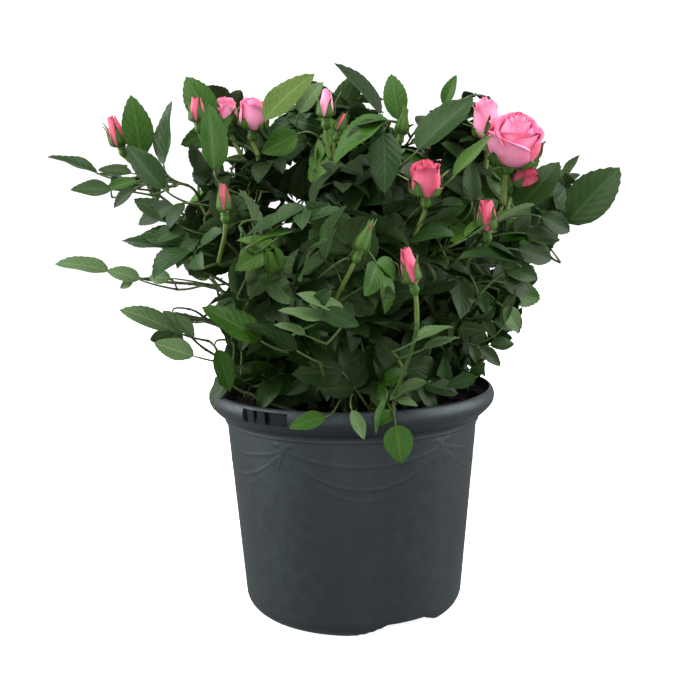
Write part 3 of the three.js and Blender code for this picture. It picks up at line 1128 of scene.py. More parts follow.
@dataclass
class Mass:
    """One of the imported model's masses of leaves, which the crown fills."""

    name: str
    tree: BVHTree
    corners: Array
    triangles: Array
    low: Array
    high: Array

    @classmethod
    def of(cls, node: str) -> Mass:
        """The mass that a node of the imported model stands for.

        Args:
            node: The node's name.

        Returns:
            The mass.
        """
        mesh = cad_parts[node].data
        mesh.calc_loop_triangles()
        corners = np.array([v.co for v in mesh.vertices]) / MM
        triangles = np.array([t.vertices for t in mesh.loop_triangles])
        tree = BVHTree.FromPolygons(corners.tolist(), triangles.tolist())
        return cls(node, tree, corners, triangles, corners.min(axis=0), corners.max(axis=0))

    @property
    def middle(self) -> Array:
        """The middle of its corners."""
        return self.corners.mean(axis=0)

    def depth(self, point: Array) -> float:
        """How far a point is inside the mass.

        Args:
            point: The point.

        Returns:
            Its depth, which is below zero outside the mass.
        """
        if np.any(point < self.low - 25.0) or np.any(point > self.high + 25.0):
            return -25.0
        near, normal, _, distance = self.tree.find_nearest(point)
        inside = (Vector(point) - near).dot(normal) < 0
        return distance if inside else -distance

    def scatter(self, spacing: float, rng: Chance) -> tuple[Array, Array]:
        """Random points on its surface.

        Args:
            spacing: The side of the square that each point stands for.
            rng: The source of chance.

        Returns:
            The points, and the way the surface faces at each.
        """
        a, b, c = (self.corners[self.triangles[:, k]] for k in range(3))
        face = np.cross(b - a, c - a)
        doubled = np.linalg.norm(face, axis=1)
        count = int(doubled.sum() / 2 / spacing**2)
        pick = rng.choice(len(doubled), count, p=doubled / doubled.sum())
        u, v = rng.random((2, count, 1))
        flip = u + v > 1
        u, v = np.where(flip, 1 - u, u), np.where(flip, 1 - v, v)
        points = a[pick] + (b - a)[pick] * u + (c - a)[pick] * v
        return points, face[pick] / doubled[pick][:, None]


def over_rim(line: Array) -> Array:
    """A line of wood lifted clear of the pot's rim where it passes over it.

    Args:
        line: Points along the wood, one a row.

    Returns:
        The line's points.
    """
    inside, outside = RIM_ZONE
    distance = np.hypot(line[:, 0], line[:, 1])
    if np.all(line[:, 2] > RIM_CLEAR) or np.all(distance < inside):
        return line
    on_rim = (distance > inside) & (distance < outside)
    lift = np.where(on_rim, np.maximum(RIM_CLEAR - line[:, 2], 0.0), 0.0)
    lift[0], lift[-1] = 0.0, 0.0
    return line + lift[:, None] * UP


@dataclass
class Network:
    """The plant's living wood, to which each new twig joins where it is nearest.

    A place to join costs its distance times plain_cost, less a share where the twig would follow the wood's
    own growth or arrive straight. Places nearer than too_near cost extra.
    """

    plain_cost: float = 1.8
    growth_share: float = 0.45
    straight_share: float = 0.65
    too_near: float = 4.0
    near_cost: float = 10.0
    longest_bend: float = 15.0
    ring_gap: float = 5.0
    fewest_rings: int = 6
    most_rings: int = 12
    thinning: float = 0.85
    most_taper: float = 2.4
    canes: int = 0
    limbs: list[Limb] = field(default_factory=list)
    points: Array = field(default_factory=lambda: np.empty((0, 3)))
    headings: Array = field(default_factory=lambda: np.empty((0, 3)))
    radii: Array = field(default_factory=lambda: np.empty(0))

    def add(self, limb: Limb) -> None:
        """Takes a limb into the network.

        Args:
            limb: The limb.
        """
        self.limbs.append(limb)
        self.points = np.vstack([self.points, limb.line])
        self.headings = np.vstack([self.headings, limb.headings()])
        self.radii = np.concatenate([self.radii, limb.radii])

    def twig_to(self, end: Array, heading: Array, tip_radius: float) -> Limb:
        """Plans a twig from the nearest wood to a point.

        Args:
            end: Where the twig ends.
            heading: The direction in which it arrives there.
            tip_radius: Its radius at its end.

        Returns:
            The new twig.
        """
        gap = end - self.points
        distance = np.linalg.norm(gap, axis=1)
        with_growth = np.einsum("ij,ij->i", gap, self.headings) / np.maximum(distance, 1e-6)
        with_heading = gap @ heading / np.maximum(distance, 1e-6)
        rate = self.plain_cost - self.growth_share * with_growth - self.straight_share * with_heading
        cost = distance * rate + np.where(distance < self.too_near, self.near_cost, 0.0)
        at = int(np.argmin(cost))
        start, leaving, reach = self.points[at], self.headings[at], float(distance[at])
        away = unit(leaving * 0.45 + unit(gap[at]) * 0.7)
        agreed = max(0.0, float(with_heading[at]))
        arriving = unit(heading * (0.4 + 0.5 * agreed) + unit(gap[at]) * 0.55)
        count = max(self.fewest_rings, min(self.most_rings, round(reach / self.ring_gap)))
        setting_out, coming_in = min(reach * 0.3, self.longest_bend), min(reach * 0.38, self.longest_bend)
        line = bezier(start, start + away * setting_out, end - arriving * coming_in, end, count)
        first = min(max(float(self.radii[at]) * self.thinning, tip_radius), tip_radius * self.most_taper)
        return Limb(over_rim(line), np.linspace(first, tip_radius, count))


@dataclass
class Canes:
    """The canes that rise from the mix, and the boughs that carry them on into the crown."""

    masses: dict[str, Mass]
    buried: float = 5.0
    foot_radius: float = 2.3
    top_radius: float = 1.7
    tip_radius: float = 0.9
    stem_radius: float = 1.4
    stems_per_mass: int = 2
    stray: float = 3.5
    cane_rings: int = 7
    bough_rings: int = 14
    stem_rings: int = 12
    seed: int = 5

    def cane_line(self, node: str) -> Array:
        """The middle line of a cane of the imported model.

        Args:
            node: The cane's node.

        Returns:
            Points along its middle, from under the mix to its top.
        """
        corners = np.array([v.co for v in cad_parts[node].data.vertices]) / MM
        heights = corners[:, 2]
        order = 2 if np.ptp(heights) > 25.0 else 1
        fits = [np.polyfit(heights, corners[:, k], order) for k in range(2)]
        z = np.linspace(heights.min() - self.buried, heights.max(), self.cane_rings)
        return np.stack([np.polyval(fits[0], z), np.polyval(fits[1], z), z], 1)

    def bough(self, start: Array, heading: Array, mass: Mass, rng: Chance) -> Array:
        """The line on from a cane's top, through the heart of its mass.

        Args:
            start: The cane's top.
            heading: Its direction there.
            mass: The mass to run through.
            rng: The source of chance.

        Returns:
            Points along the bough.
        """
        far = mass.corners[np.argmax(np.linalg.norm(mass.corners - start, axis=1))]
        end = mass.middle + (far - mass.middle) * 0.4
        reach = float(np.linalg.norm(end - start))
        last = unit(unit(far - mass.middle) + UP * 0.25)
        count = self.bough_rings
        line = bezier(start, start + heading * reach * 0.4, end - last * reach * 0.3, end, count)
        return line + np.sin(np.linspace(0, np.pi, count))[:, None] * rng.normal(size=3) * self.stray

    def grow(self, network: Network) -> None:
        """Grows every cane and bough into the network.

        Args:
            network: The plant's wood.
        """
        rng = np.random.default_rng(self.seed)
        for mass_name, mass in self.masses.items():
            cane = mass_name.replace("leaves_", "cane_")
            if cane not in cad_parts:
                continue
            line = self.cane_line(cane)
            heading = unit(line[-1] - line[-2])
            bough = self.bough(line[-1], heading, mass, rng)
            whole = np.vstack([line, bough[1:]])
            thin = np.linspace(self.foot_radius, self.top_radius, len(line))
            thinner = np.linspace(self.top_radius, self.tip_radius, len(bough))[1:]
            network.add(Limb(over_rim(whole), np.concatenate([thin, thinner])))
            for _ in range(self.stems_per_mass):
                network.add(self.stem(line[0], mass, rng))
        network.canes = len(network.limbs)
        for mass_name, mass in self.masses.items():
            if mass_name.replace("leaves_", "cane_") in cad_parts:
                continue
            aim = mass.middle - UP * 12.0
            network.add(network.twig_to(aim, unit(mass.middle * vec(0.6, 0.6, 0) + UP * 60.0), 1.2))

    def stem(self, foot: Array, mass: Mass, rng: Chance) -> Limb:
        """A thinner stem from beside a cane's foot up into its mass.

        Args:
            foot: The cane's foot.
            mass: The mass to grow into.
            rng: The source of chance.

        Returns:
            The stem.
        """
        start = foot * vec(0.9, 0.9, 1.0) + rng.normal(size=3) * vec(11.0, 11.0, 0.0)
        spread = (mass.high - mass.low) * 0.22
        end = mass.middle + rng.uniform(-1, 1, 3) * spread
        rise = UP * float(end[2] - start[2])
        coming_in = unit(end - start + UP * 30.0) * 30.0
        line = bezier(start, start + rise * 0.45, end - coming_in, end, self.stem_rings)
        return Limb(over_rim(line), np.linspace(self.stem_radius, self.tip_radius * 0.8, self.stem_rings))


@dataclass
class Wood:
    """The skin of all the wood: canes and boughs in one piece, green twigs and stalks in another."""

    network: Network
    prickle_gap: float = 11.0
    seed: int = 23

    def build(self, stalks: Pile) -> list[Piece]:
        """Makes the wood.

        Args:
            stalks: The leaves' stalks and the flowers' stems, to which the twigs are added.

        Returns:
            The canes' and the twigs' objects.
        """
        rng = np.random.default_rng(self.seed)
        bark = Pile()
        for number, limb in enumerate(self.network.limbs):
            if number < self.network.canes:
                self.add_cane(bark, limb, rng)
            else:
                stalks.tube(limb.line, limb.radii, 6)
        cane_rind = Rind("cane_rind", (58, 72, 34), (84, 72, 44), 340.0, 0.25)
        green_rind = Rind("green_rind", (58, 86, 32), (84, 76, 42), 520.0, 0.08, 0.5)
        canes = bark.build("canes_and_boughs", [cane_rind.material()])
        flower_rind = Rind("flower_stem", (92, 118, 48), (108, 112, 58), 520.0, 0.08, 0.5)
        twigs = stalks.build("twigs_and_stalks", [green_rind.material(), flower_rind.material()])
        for piece in (canes, twigs):
            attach(piece, BODY)
        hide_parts(*[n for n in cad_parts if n.startswith("cane_")])
        return [canes, twigs]

    def add_cane(self, bark: Pile, limb: Limb, rng: Chance) -> None:
        """Adds a cane with its swollen joints, the relief of its bark and its prickles.

        Args:
            bark: Where it goes.
            limb: The cane.
            rng: The source of chance.
        """
        line = smooth_line(limb.line, 2.2)
        share = np.linspace(0, 1, len(line))
        radii = np.interp(share, np.linspace(0, 1, len(limb.radii)), limb.radii)
        length = float(np.linalg.norm(np.diff(line, axis=0), axis=1).sum())
        travelled = share * length
        radii = radii * (1.0 + 0.16 * np.exp(-((np.mod(travelled + 6.0, 24.0) - 12.0) ** 2) / 4.0))
        radii = radii * (1.0 + 0.05 * np.sin(travelled * 1.9 + rng.uniform(0, 6)))
        radii[: len(radii) // 8] *= np.linspace(1.3, 1.0, len(radii) // 8)
        bark.tube(line, radii, 8)
        headings = np.gradient(line, axis=0)
        for at in np.arange(14.0, length - 6.0, self.prickle_gap):
            i = int(np.searchsorted(travelled, at + rng.uniform(-3, 3)))
            i = min(max(i, 1), len(line) - 2)
            heading = unit(headings[i])
            out = square_to(heading, rng.normal(size=3))
            root = line[i] + out * radii[i] * 0.7
            tip = root + out * rng.uniform(1.6, 2.8) - heading * 1.0
            thorn = np.stack([root - heading * 0.2, (root + tip) / 2 + heading * 0.2, tip])
            bark.tube(thorn, np.array([0.8, 0.45, 0.06]), 4)


# ---- leaves ----


class Tint(Enum):
    """The greens of the crown, by the age and side of the leaf."""

    DEEP = 0
    MATURE = 1
    COOL = 2
    LIVELY = 3
    FRESH = 4
    YOUNG = 5
    PALE = 6
    UNDERSIDE = 7
    PALE_UNDERSIDE = 8


LEAF_FINISHES = {
    Tint.DEEP: LeafSkin("leaf_deep", (24, 44, 13), (34, 56, 21), 0.5),
    Tint.MATURE: LeafSkin("leaf_mature", (30, 56, 15), (43, 70, 24), 0.46),
    Tint.COOL: LeafSkin("leaf_cool", (32, 57, 23), (45, 71, 34), 0.4),
    Tint.LIVELY: LeafSkin("leaf_lively", (44, 80, 18), (58, 94, 30), 0.42),
    Tint.FRESH: LeafSkin("leaf_fresh", (64, 98, 32), (82, 114, 46), 0.44),
    Tint.YOUNG: LeafSkin("leaf_young", (72, 94, 30), (88, 110, 44), 0.46),
    Tint.PALE: LeafSkin("leaf_pale", (84, 108, 66), (102, 126, 82), 0.46),
    Tint.UNDERSIDE: LeafSkin("leaf_underside", (66, 88, 50), (80, 104, 64), 0.6),
    Tint.PALE_UNDERSIDE: LeafSkin("leaf_pale_underside", (116, 136, 94), (136, 154, 112), 0.62),
}


TINT_SHARES = {
    "side": (0.36, 0.35, 0.1, 0.13, 0.04, 0.01, 0.01),
    "inside": (0.68, 0.28, 0.04, 0.0, 0.0, 0.0, 0.0),
    "underneath": (0.5, 0.3, 0.05, 0.1, 0.02, 0.0, 0.03),
    "low": (0.2, 0.3, 0.08, 0.24, 0.09, 0.02, 0.07),
    "top": (0.26, 0.36, 0.12, 0.18, 0.06, 0.01, 0.01),
}


@dataclass
class Leaflet:
    """Where one leaflet sits.

    Attributes:
        base: The foot of its blade.
        heading: The direction of its midrib at the foot.
        face: The way its upper side looks.
        length: The length of its blade.
        width: The breadth of its blade.
        droop: How far its midrib bends down from foot to tip, in degrees.
    """

    base: Array
    heading: Array
    face: Array
    length: float
    width: float
    droop: float

    def tip(self) -> Array:
        """About where the tip comes."""
        bend = math.radians(self.droop) * 0.45
        return self.base + (self.heading * math.cos(bend) - self.face * math.sin(bend)) * self.length


@dataclass
class Spray:
    """One compound leaf: a stalk with its leaflets."""

    stalk: Array
    leaflets: list[Leaflet]
    tint: Tint


@dataclass
class LeafMaker:
    """Draws leaflets as closed blades with toothed edges, folded along the midrib."""

    rows: int = 19
    inner_rows: int = 9
    swell: float = 0.62
    sharpen: float = 0.95
    thickness: float = 0.4
    tooth: float = 0.024

    def outline(self, rows: int) -> tuple[Array, Array]:
        """The places of the rows along the midrib, and the half breadth at each.

        Args:
            rows: How many rows.

        Returns:
            The places from 0 to 1, and the half breadths as shares of the greatest.
        """
        t = np.linspace(0.0, 1.0, rows)
        peak = self.swell / (self.swell + self.sharpen)
        with np.errstate(divide="ignore"):
            half = (t / peak) ** self.swell * ((1 - t) / (1 - peak)) ** self.sharpen
        half[0], half[-1] = 0.05, 0.012
        return t, half

    def blade(self, leaflet: Leaflet, rows: int, rng: Chance) -> Array:
        """The upper side of a leaflet.

        Args:
            leaflet: Where it sits and how it bends.
            rows: How many rows of points it has.
            rng: The source of chance.

        Returns:
            Its points, in rows from foot to tip and five columns across.
        """
        t, half = self.outline(rows)
        fold = math.radians(rng.uniform(8.0, 22.0))
        sway = rng.uniform(-0.09, 0.09)
        twist = math.radians(rng.uniform(-16.0, 16.0))
        wave, phase = rng.uniform(0.02, 0.09), rng.uniform(0, 6.3)
        pitch = -math.radians(leaflet.droop) * t**1.25
        steps = np.diff(t, prepend=0.0)
        x = leaflet.length * np.cumsum(np.cos(pitch) * steps)
        z = leaflet.length * np.cumsum(np.sin(pitch) * steps)
        y = leaflet.length * sway * t * t
        s = np.array([-1.0, -0.5, 0.0, 0.5, 1.0])[None, :]
        breadth = (leaflet.width / 2 * half)[:, None]
        teeth = np.ones((rows, 5))
        teeth[1:-1:2, [0, 4]] = 1.0 - self.tooth
        lag = np.zeros((rows, 5))
        lag[2:-1:2, [0, 4]] = 0.4 * leaflet.length / rows
        turn = (twist * t)[:, None]
        across = breadth * teeth * s
        lift = np.abs(across) * math.sin(fold)
        middle_bulge = (1.0 - np.abs(2.0 * np.abs(s) - 1.0)) * np.minimum(breadth, 6.0) * 0.09
        flutter = wave * breadth * np.sin(9.0 * t[:, None] + phase + 1.4 * s) * (np.abs(s) > 0.9)
        lift = lift + middle_bulge + flutter
        flat = across * math.cos(fold)
        local_y = flat * np.cos(turn) - lift * np.sin(turn) + y[:, None]
        local_up = flat * np.sin(turn) + lift * np.cos(turn)
        local_x = x[:, None] + lag - local_up * np.sin(pitch)[:, None]
        local_z = z[:, None] + local_up * np.cos(pitch)[:, None]
        side = np.cross(leaflet.face, leaflet.heading)
        return (
            leaflet.base
            + local_x[..., None] * leaflet.heading
            + local_y[..., None] * side
            + local_z[..., None] * leaflet.face
        )

    def add(self, pile: Pile, leaflet: Leaflet, tint: Tint, inner: bool, rng: Chance) -> None:
        """Adds a leaflet to a pile.

        Args:
            pile: Where it goes.
            leaflet: Where it sits.
            tint: The green of its upper side.
            inner: Whether it is deep in the crown, where fewer rows do.
            rng: The source of chance.
        """
        rows = self.inner_rows if inner else self.rows
        light = tint in (Tint.YOUNG, Tint.PALE, Tint.FRESH)
        back = Tint.PALE_UNDERSIDE if light else Tint.UNDERSIDE
        pile.sheet(self.blade(leaflet, rows, rng), self.thickness, tint.value, back.value, 2)


@dataclass
class Sprays:
    """Plans compound leaves."""

    petiole: float = 11.0
    gap: float = 11.0
    leaflet: float = 39.0
    slim: tuple[float, float] = (0.5, 0.62)
    pair_shares: tuple[float, ...] = (0.84, 0.64, 0.5)

    def reach(self, size: float, pairs: int) -> float:
        """The distance from the foot of the stalk to the last leaflet's tip."""
        return size * (self.petiole + self.gap * pairs + self.leaflet)

    def plan(
        self,
        base: Array,
        heading: Array,
        face: Array,
        size: float,
        pairs: int,
        droop: float,
        tint: Tint,
        rng: Chance,
    ) -> Spray:
        """Plans one compound leaf.

        Args:
            base: The foot of its stalk.
            heading: The direction in which the stalk sets out.
            face: The way the leaf's upper side looks.
            size: 1 for a full-grown leaf.
            pairs: How many pairs of leaflets there are below the last one.
            droop: How far the stalk bends down over its length, in degrees.
            tint: The leaf's green.
            rng: The source of chance.

        Returns:
            The planned leaf.
        """
        face = square_to(heading, face)
        side = np.cross(face, heading)
        length = size * (self.petiole + self.gap * pairs)
        steps = 4 + 2 * pairs
        line = [base]
        headings = [heading]
        for _ in range(steps):
            bent = turned(headings[-1], side, droop / steps)
            line.append(line[-1] + bent * length / steps)
            headings.append(bent)
        stalk = np.array(line)
        leaflets = []
        for pair in range(pairs):
            along = 1.0 - (pair + 0.35) * self.gap * size / length
            at = min(int(round(along * steps)), steps)
            share = self.pair_shares[pair]
            for way in (-1, 1):
                here = headings[at]
                up = square_to(here, face)
                out = turned(here, up, way * rng.uniform(46.0, 66.0))
                up = turned(up, here, way * rng.uniform(-8.0, 16.0))
                long = self.leaflet * size * share * rng.uniform(0.9, 1.1)
                leaflets.append(self.leaflet_at(stalk[at], out, up, long, rng))
        long = self.leaflet * size * rng.uniform(0.93, 1.07)
        last = turned(headings[-1], side, rng.uniform(-6, 12))
        leaflets.append(self.leaflet_at(stalk[-1], last, square_to(last, face), long, rng))
        return Spray(stalk, leaflets, tint)

    def leaflet_at(
        self, base: Array, heading: Array, face: Array, length: float, rng: Chance
    ) -> Leaflet:
        """One leaflet with chance in its breadth and bend."""
        width = length * rng.uniform(*self.slim)
        return Leaflet(base, heading, square_to(heading, face), length, width, rng.uniform(12.0, 52.0))


# ---- flowers ----


class Petals(Enum):
    """The finishes of a flower's parts, which one pile holds."""

    ROSE = 0
    ROSE_BACK = 1
    CORAL = 2
    CORAL_BACK = 3


PETAL_FINISHES = {
    Petals.ROSE: PetalSkin("petal_rose", (252, 146, 184), (252, 196, 204), (244, 116, 160)),
    Petals.ROSE_BACK: PetalSkin("petal_rose_back", (252, 160, 194), (253, 194, 196), (246, 132, 174)),
    Petals.CORAL: PetalSkin("petal_coral", (222, 88, 118), (228, 142, 140), (192, 54, 86)),
    Petals.CORAL_BACK: PetalSkin("petal_coral_back", (228, 106, 134), (232, 154, 146), (202, 66, 96)),
}


class Stage(Enum):
    """How far a flower has opened."""

    GREEN = 0
    SLIT = 1
    BUD = 2
    HALF = 3
    OPEN = 4


@dataclass(frozen=True)
class Habit:
    """The build of a flower at one stage.

    Attributes:
        petals: How many petals.
        inner: The innermost petal's radius as a share of the flower's.
        outer: The outermost petal's radius at its cup, likewise.
        lean: How far the outer petals' walls lean out, in degrees. Inner ones lean in.
        close: How far the inner walls lean in.
        belly: How far each wall bulges, in degrees either way.
        drop: How much lower the outermost petal is than the innermost, as a share of the height.
        roll: How far the outermost rim curls over, in degrees.
        sepals: How far the sepals stand off the petals, in degrees.
    """

    petals: int
    inner: float
    outer: float
    lean: float
    close: float
    belly: float
    drop: float
    roll: float
    sepals: float


HABITS = {
    Stage.GREEN: Habit(3, 0.3, 0.78, -10.0, 12.0, 12.0, 0.1, 0.0, 4.0),
    Stage.SLIT: Habit(5, 0.25, 0.86, -9.0, 12.0, 12.0, 0.1, 0.0, 8.0),
    Stage.BUD: Habit(8, 0.2, 0.9, -6.0, 12.0, 16.0, 0.1, 22.0, 20.0),
    Stage.HALF: Habit(13, 0.12, 0.9, 2.0, 9.0, 17.0, 0.3, 75.0, 62.0),
    Stage.OPEN: Habit(22, 0.1, 1.0, 0.0, 8.0, 34.0, 0.5, 175.0, 66.0),
}


@dataclass(frozen=True)
class Flower:
    """Where one flower is and how big.

    Attributes:
        name: Its name, which seeds its chances.
        stage: How far it has opened.
        at: The middle of its petals.
        lean: The direction in which it looks.
        radius: The radius of its petals.
        height: Their height above the hip.
        stem: A point that its stem passes through.
        coral: Whether it is a deep coral rather than a rose pink.
        spin: The azimuth of its outermost petal about its own axis.
    """

    name: str
    stage: Stage
    at: Triple
    lean: Triple
    radius: float
    height: float
    stem: Triple
    coral: bool = False
    spin: float = 0.0

    def foot(self) -> Array:
        """Where the petals leave the hip."""
        return vec(*self.at) - unit(vec(*self.lean)) * self.height * 0.5


# The places of the fifteen at the front were first worked out by a separate program, then changed by hand.
FLOWERS = (
    Flower("queen", Stage.OPEN, (98, -62, 308), (0.12, -0.62, 0.9), 21.0, 34, (92, -54, 268), spin=104),
    Flower("queen_behind", Stage.HALF, (84, -36, 321), (-0.06, -0.1, 1), 9.6, 28, (84, -34, 286), spin=-70),
    Flower("coral_under_queen", Stage.HALF, (107, -46, 284), (0.5, -0.3, 0.6), 9.5, 16,
           (96, -42, 262), True, 60),
    Flower("square_coral", Stage.HALF, (43, -92, 284), (-0.02, -0.35, 1), 11, 23, (37, -84, 250), True, 112),
    Flower("small_coral", Stage.BUD, (77, -92, 262), (-0.1, -0.25, 1), 7.8, 18, (79, -84, 242), True, 32),
    Flower("front_bud", Stage.BUD, (31, -130, 237), (-0.25, -0.12, 1), 6.4, 20, (36, -122, 205), True, 40),
    Flower("green_bud", Stage.GREEN, (8, -130, 252), (0.45, 0.0, 1), 4.6, 17, (-9, -114, 217), True, 30),
    Flower("slit_bud", Stage.SLIT, (-71, -90, 274), (-0.03, -0.1, 1), 5.0, 17, (-77, -76, 236), True, 36),
    Flower("wide_cup", Stage.HALF, (-59, -22, 326), (0.12, -0.3, 1), 11.6, 21, (-57, -20, 300), spin=-100),
    Flower("cup_beside", Stage.HALF, (-77, -15, 329), (-0.15, -0.3, 1), 7.6, 19, (-68, -14, 300), spin=35),
    Flower("cup_peeping", Stage.BUD, (-92, -38, 327), (-0.05, -0.1, 1), 6.4, 15, (-86, -32, 302), True, 100),
    Flower("crest_bud", Stage.BUD, (-13, -58, 328), (0.05, -0.1, 1), 6.2, 17, (-11, -52, 296), spin=97),
    Flower("crest_side_bud", Stage.SLIT, (-4, -56, 317), (0.4, -0.1, 0.9), 4.6, 12, (-9, -50, 294), True, 20),
    Flower("left_bud", Stage.BUD, (-146, -20, 316), (-0.3, -0.1, 1), 6.8, 20, (-128, -16, 292), True, 90),
    Flower("pale_bud", Stage.GREEN, (32, -60, 316), (0.2, -0.1, 1), 4.5, 13, (30, -56, 290), False, 140),
    Flower("back_rose", Stage.OPEN, (-52, 100, 314), (-0.1, 0.35, 0.95), 14, 29, (-46, 84, 278), spin=70),
    Flower("back_half", Stage.HALF, (62, 108, 306), (0.2, 0.4, 1), 9.5, 24, (56, 92, 272), spin=15),
    Flower("back_bud", Stage.BUD, (6, 132, 296), (0.05, 0.3, 1), 6.2, 18, (6, 116, 262), True, 45),
    Flower("back_slit", Stage.SLIT, (-104, 74, 300), (-0.3, 0.2, 1), 5.0, 17, (-92, 66, 268), True, 160),
    Flower("right_bud", Stage.BUD, (138, 58, 268), (0.5, 0.2, 1), 6.2, 18, (122, 50, 244), True, 210),
    Flower("right_half", Stage.HALF, (104, 62, 314), (0.3, 0.3, 1), 9.5, 23, (94, 54, 282), spin=120),
    Flower("left_slit", Stage.SLIT, (-112, 88, 268), (-0.5, 0.3, 1), 4.8, 16, (-102, 80, 244), True, 250),
)


@dataclass
class FlowerMaker:
    """Makes roses and buds from thin petals set on a spiral."""

    petal_rows: int = 15
    petal_columns: int = 13
    thickness: float = 0.35
    sepals: int = 5
    sepal_gap: float = 0.6
    sepal_share: float = 0.56
    closed_share: float = 0.86

    def petal(self, flower: Flower, order: float, azimuth: float, rng: Chance) -> Array:
        """One petal's outer side in the flower's own frame, whose axis is Z and whose foot is the origin.

        Args:
            flower: The flower it belongs to.
            order: 0 for the innermost petal and 1 for the outermost.
            azimuth: Its middle's azimuth about the flower's axis, in degrees.
            rng: The source of chance.

        Returns:
            Its points, in rows from claw to rim and columns across.
        """
        habit = HABITS[flower.stage]
        openness = ease(0.15, 1.0, order)
        cup = flower.radius * (habit.inner + (habit.outer - habit.inner) * order**0.8)
        wide = min(1.0, 1.5 * cup / flower.radius)
        tall = flower.height * (1.0 - habit.drop * order**1.3) * (0.86 + 0.14 * wide)
        tall = tall * rng.uniform(0.97, 1.03)
        lean = math.radians(-habit.close + (habit.close + habit.lean) * openness) * wide
        roll = math.radians(habit.roll) * openness * rng.uniform(0.6, 1.1)
        curl = (0.1 + 0.12 * openness) * tall
        u = np.linspace(-1.0, 1.0, self.petal_columns)[None, :]
        v = np.linspace(0.0, 1.0, self.petal_rows)[:, None]
        bowl = cup * 1.35
        slant = rng.uniform(-0.14, 0.14) * openness
        crown = tall * (1.0 - 0.16 * np.abs(u) ** 4.0 + slant * u) - bowl * 0.45
        whole = bowl + crown
        run = v * whole
        settle = ease(0.0, 1.0, run / bowl)
        belly = math.radians(habit.belly) * wide * (1.0 - 2.0 * np.clip(run / whole, 0.0, 1.0))
        angle = math.radians(84.0) * (1.0 - settle) + (lean + belly) * settle
        past = ease(0.0, 1.0, (run - (whole - curl)) / curl)
        angle = angle + roll * past * (0.8 + 0.2 * np.abs(u))
        step = whole / (self.petal_rows - 1)
        middle_angle = (angle[1:] + angle[:-1]) / 2
        r = np.vstack([np.zeros_like(u), np.cumsum(np.sin(middle_angle), axis=0) * step])
        z = np.vstack([np.zeros_like(u), np.cumsum(np.cos(middle_angle), axis=0) * step])
        reach = 118.0 - 54.0 * order**0.7
        spread = reach * (0.3 + 0.7 * ease(0.0, 0.42, v)) * (1.0 - 0.1 * ease(0.8, 1.0, v))
        around = np.radians(azimuth + u * spread)
        spiral = 1.0 + (0.09 - 0.02 * order) * u
        ripple = 1.0 + 0.035 * np.sin(2.6 * u + rng.uniform(0, 6.3)) * v
        edge = openness * flower.radius * 0.07 * np.abs(u) ** 4 * v
        r = np.maximum(r * spiral * ripple + edge, 0.3 * cup * ease(0.0, 0.3, v)) + 0.25
        return np.stack([r * np.cos(around), r * np.sin(around), z + 0.0 * around], -1)

    def frame_of(self, flower: Flower) -> Array:
        """The flower's own axes as the rows of a matrix."""
        axis = unit(vec(*flower.lean))
        side = square_to(axis, vec(0.0, -1.0, 0.0))
        return np.stack([side, np.cross(axis, side), axis])

    def add(self, flower: Flower, petals: Pile, greens: Pile) -> None:
        """Adds a flower.

        Args:
            flower: The flower.
            petals: Where its petals go.
            greens: Where its hip and sepals go.
        """
        rng = np.random.default_rng(sum(map(ord, flower.name)))
        habit = HABITS[flower.stage]
        axes, foot = self.frame_of(flower), flower.foot()
        front = Petals.CORAL if flower.coral else Petals.ROSE
        back = Petals.CORAL_BACK if flower.coral else Petals.ROSE_BACK
        outlines = []
        for k in range(habit.petals):
            order = k / (habit.petals - 1)
            azimuth = flower.spin - GOLDEN_TURN * (habit.petals - 1 - k) + rng.uniform(-9, 9)
            grid = self.petal(flower, order, azimuth, rng)
            off_axis = np.hypot(grid[..., 0], grid[..., 1])
            outlines.append(np.stack([grid[..., 2].ravel(), off_axis.ravel()], 1))
            # The outermost petal of an open rose takes the darker coral back all over: painted shade for that
            # shadowed outer petal.
            shaded_outer = flower.stage == Stage.OPEN and k == habit.petals - 1
            outside = Petals.CORAL_BACK if shaded_outer else back
            petals.sheet(foot + grid @ axes, -self.thickness, outside.value, front.value)
        self.add_hip(flower, axes, foot, greens)
        outline = self.outline(np.vstack(outlines))
        for k in range(self.sepals):
            azimuth = 360.0 / self.sepals * k + flower.spin
            self.add_sepal(flower, axes, foot, azimuth, outline, greens, rng)

    def outline(self, points: Array) -> Array:
        """How wide a flower is at each height.

        Args:
            points: The heights and distances from the axis of all its petals' points.

        Returns:
            Rows of height and greatest distance, from the foot up.
        """
        heights = np.linspace(0.0, points[:, 0].max(), 12)
        step = heights[1]
        return np.array([(z, points[np.abs(points[:, 0] - z) < step, 1].max()) for z in heights])

    def add_hip(self, flower: Flower, axes: Array, foot: Array, greens: Pile) -> None:
        """Adds the green hip under the petals.

        Args:
            flower: The flower.
            axes: Its own axes.
            foot: Where its petals leave the hip.
            greens: Where the hip goes.
        """
        size = 2.2 + 0.1 * flower.radius
        heights = np.linspace(-2.3, 0.35, 9) * size
        bulge = np.array([0.42, 0.6, 0.86, 1.0, 1.0, 0.88, 0.86, 1.02, 0.6]) * size
        greens.tube(foot + heights[:, None] * axes[2], bulge, 12, 0)

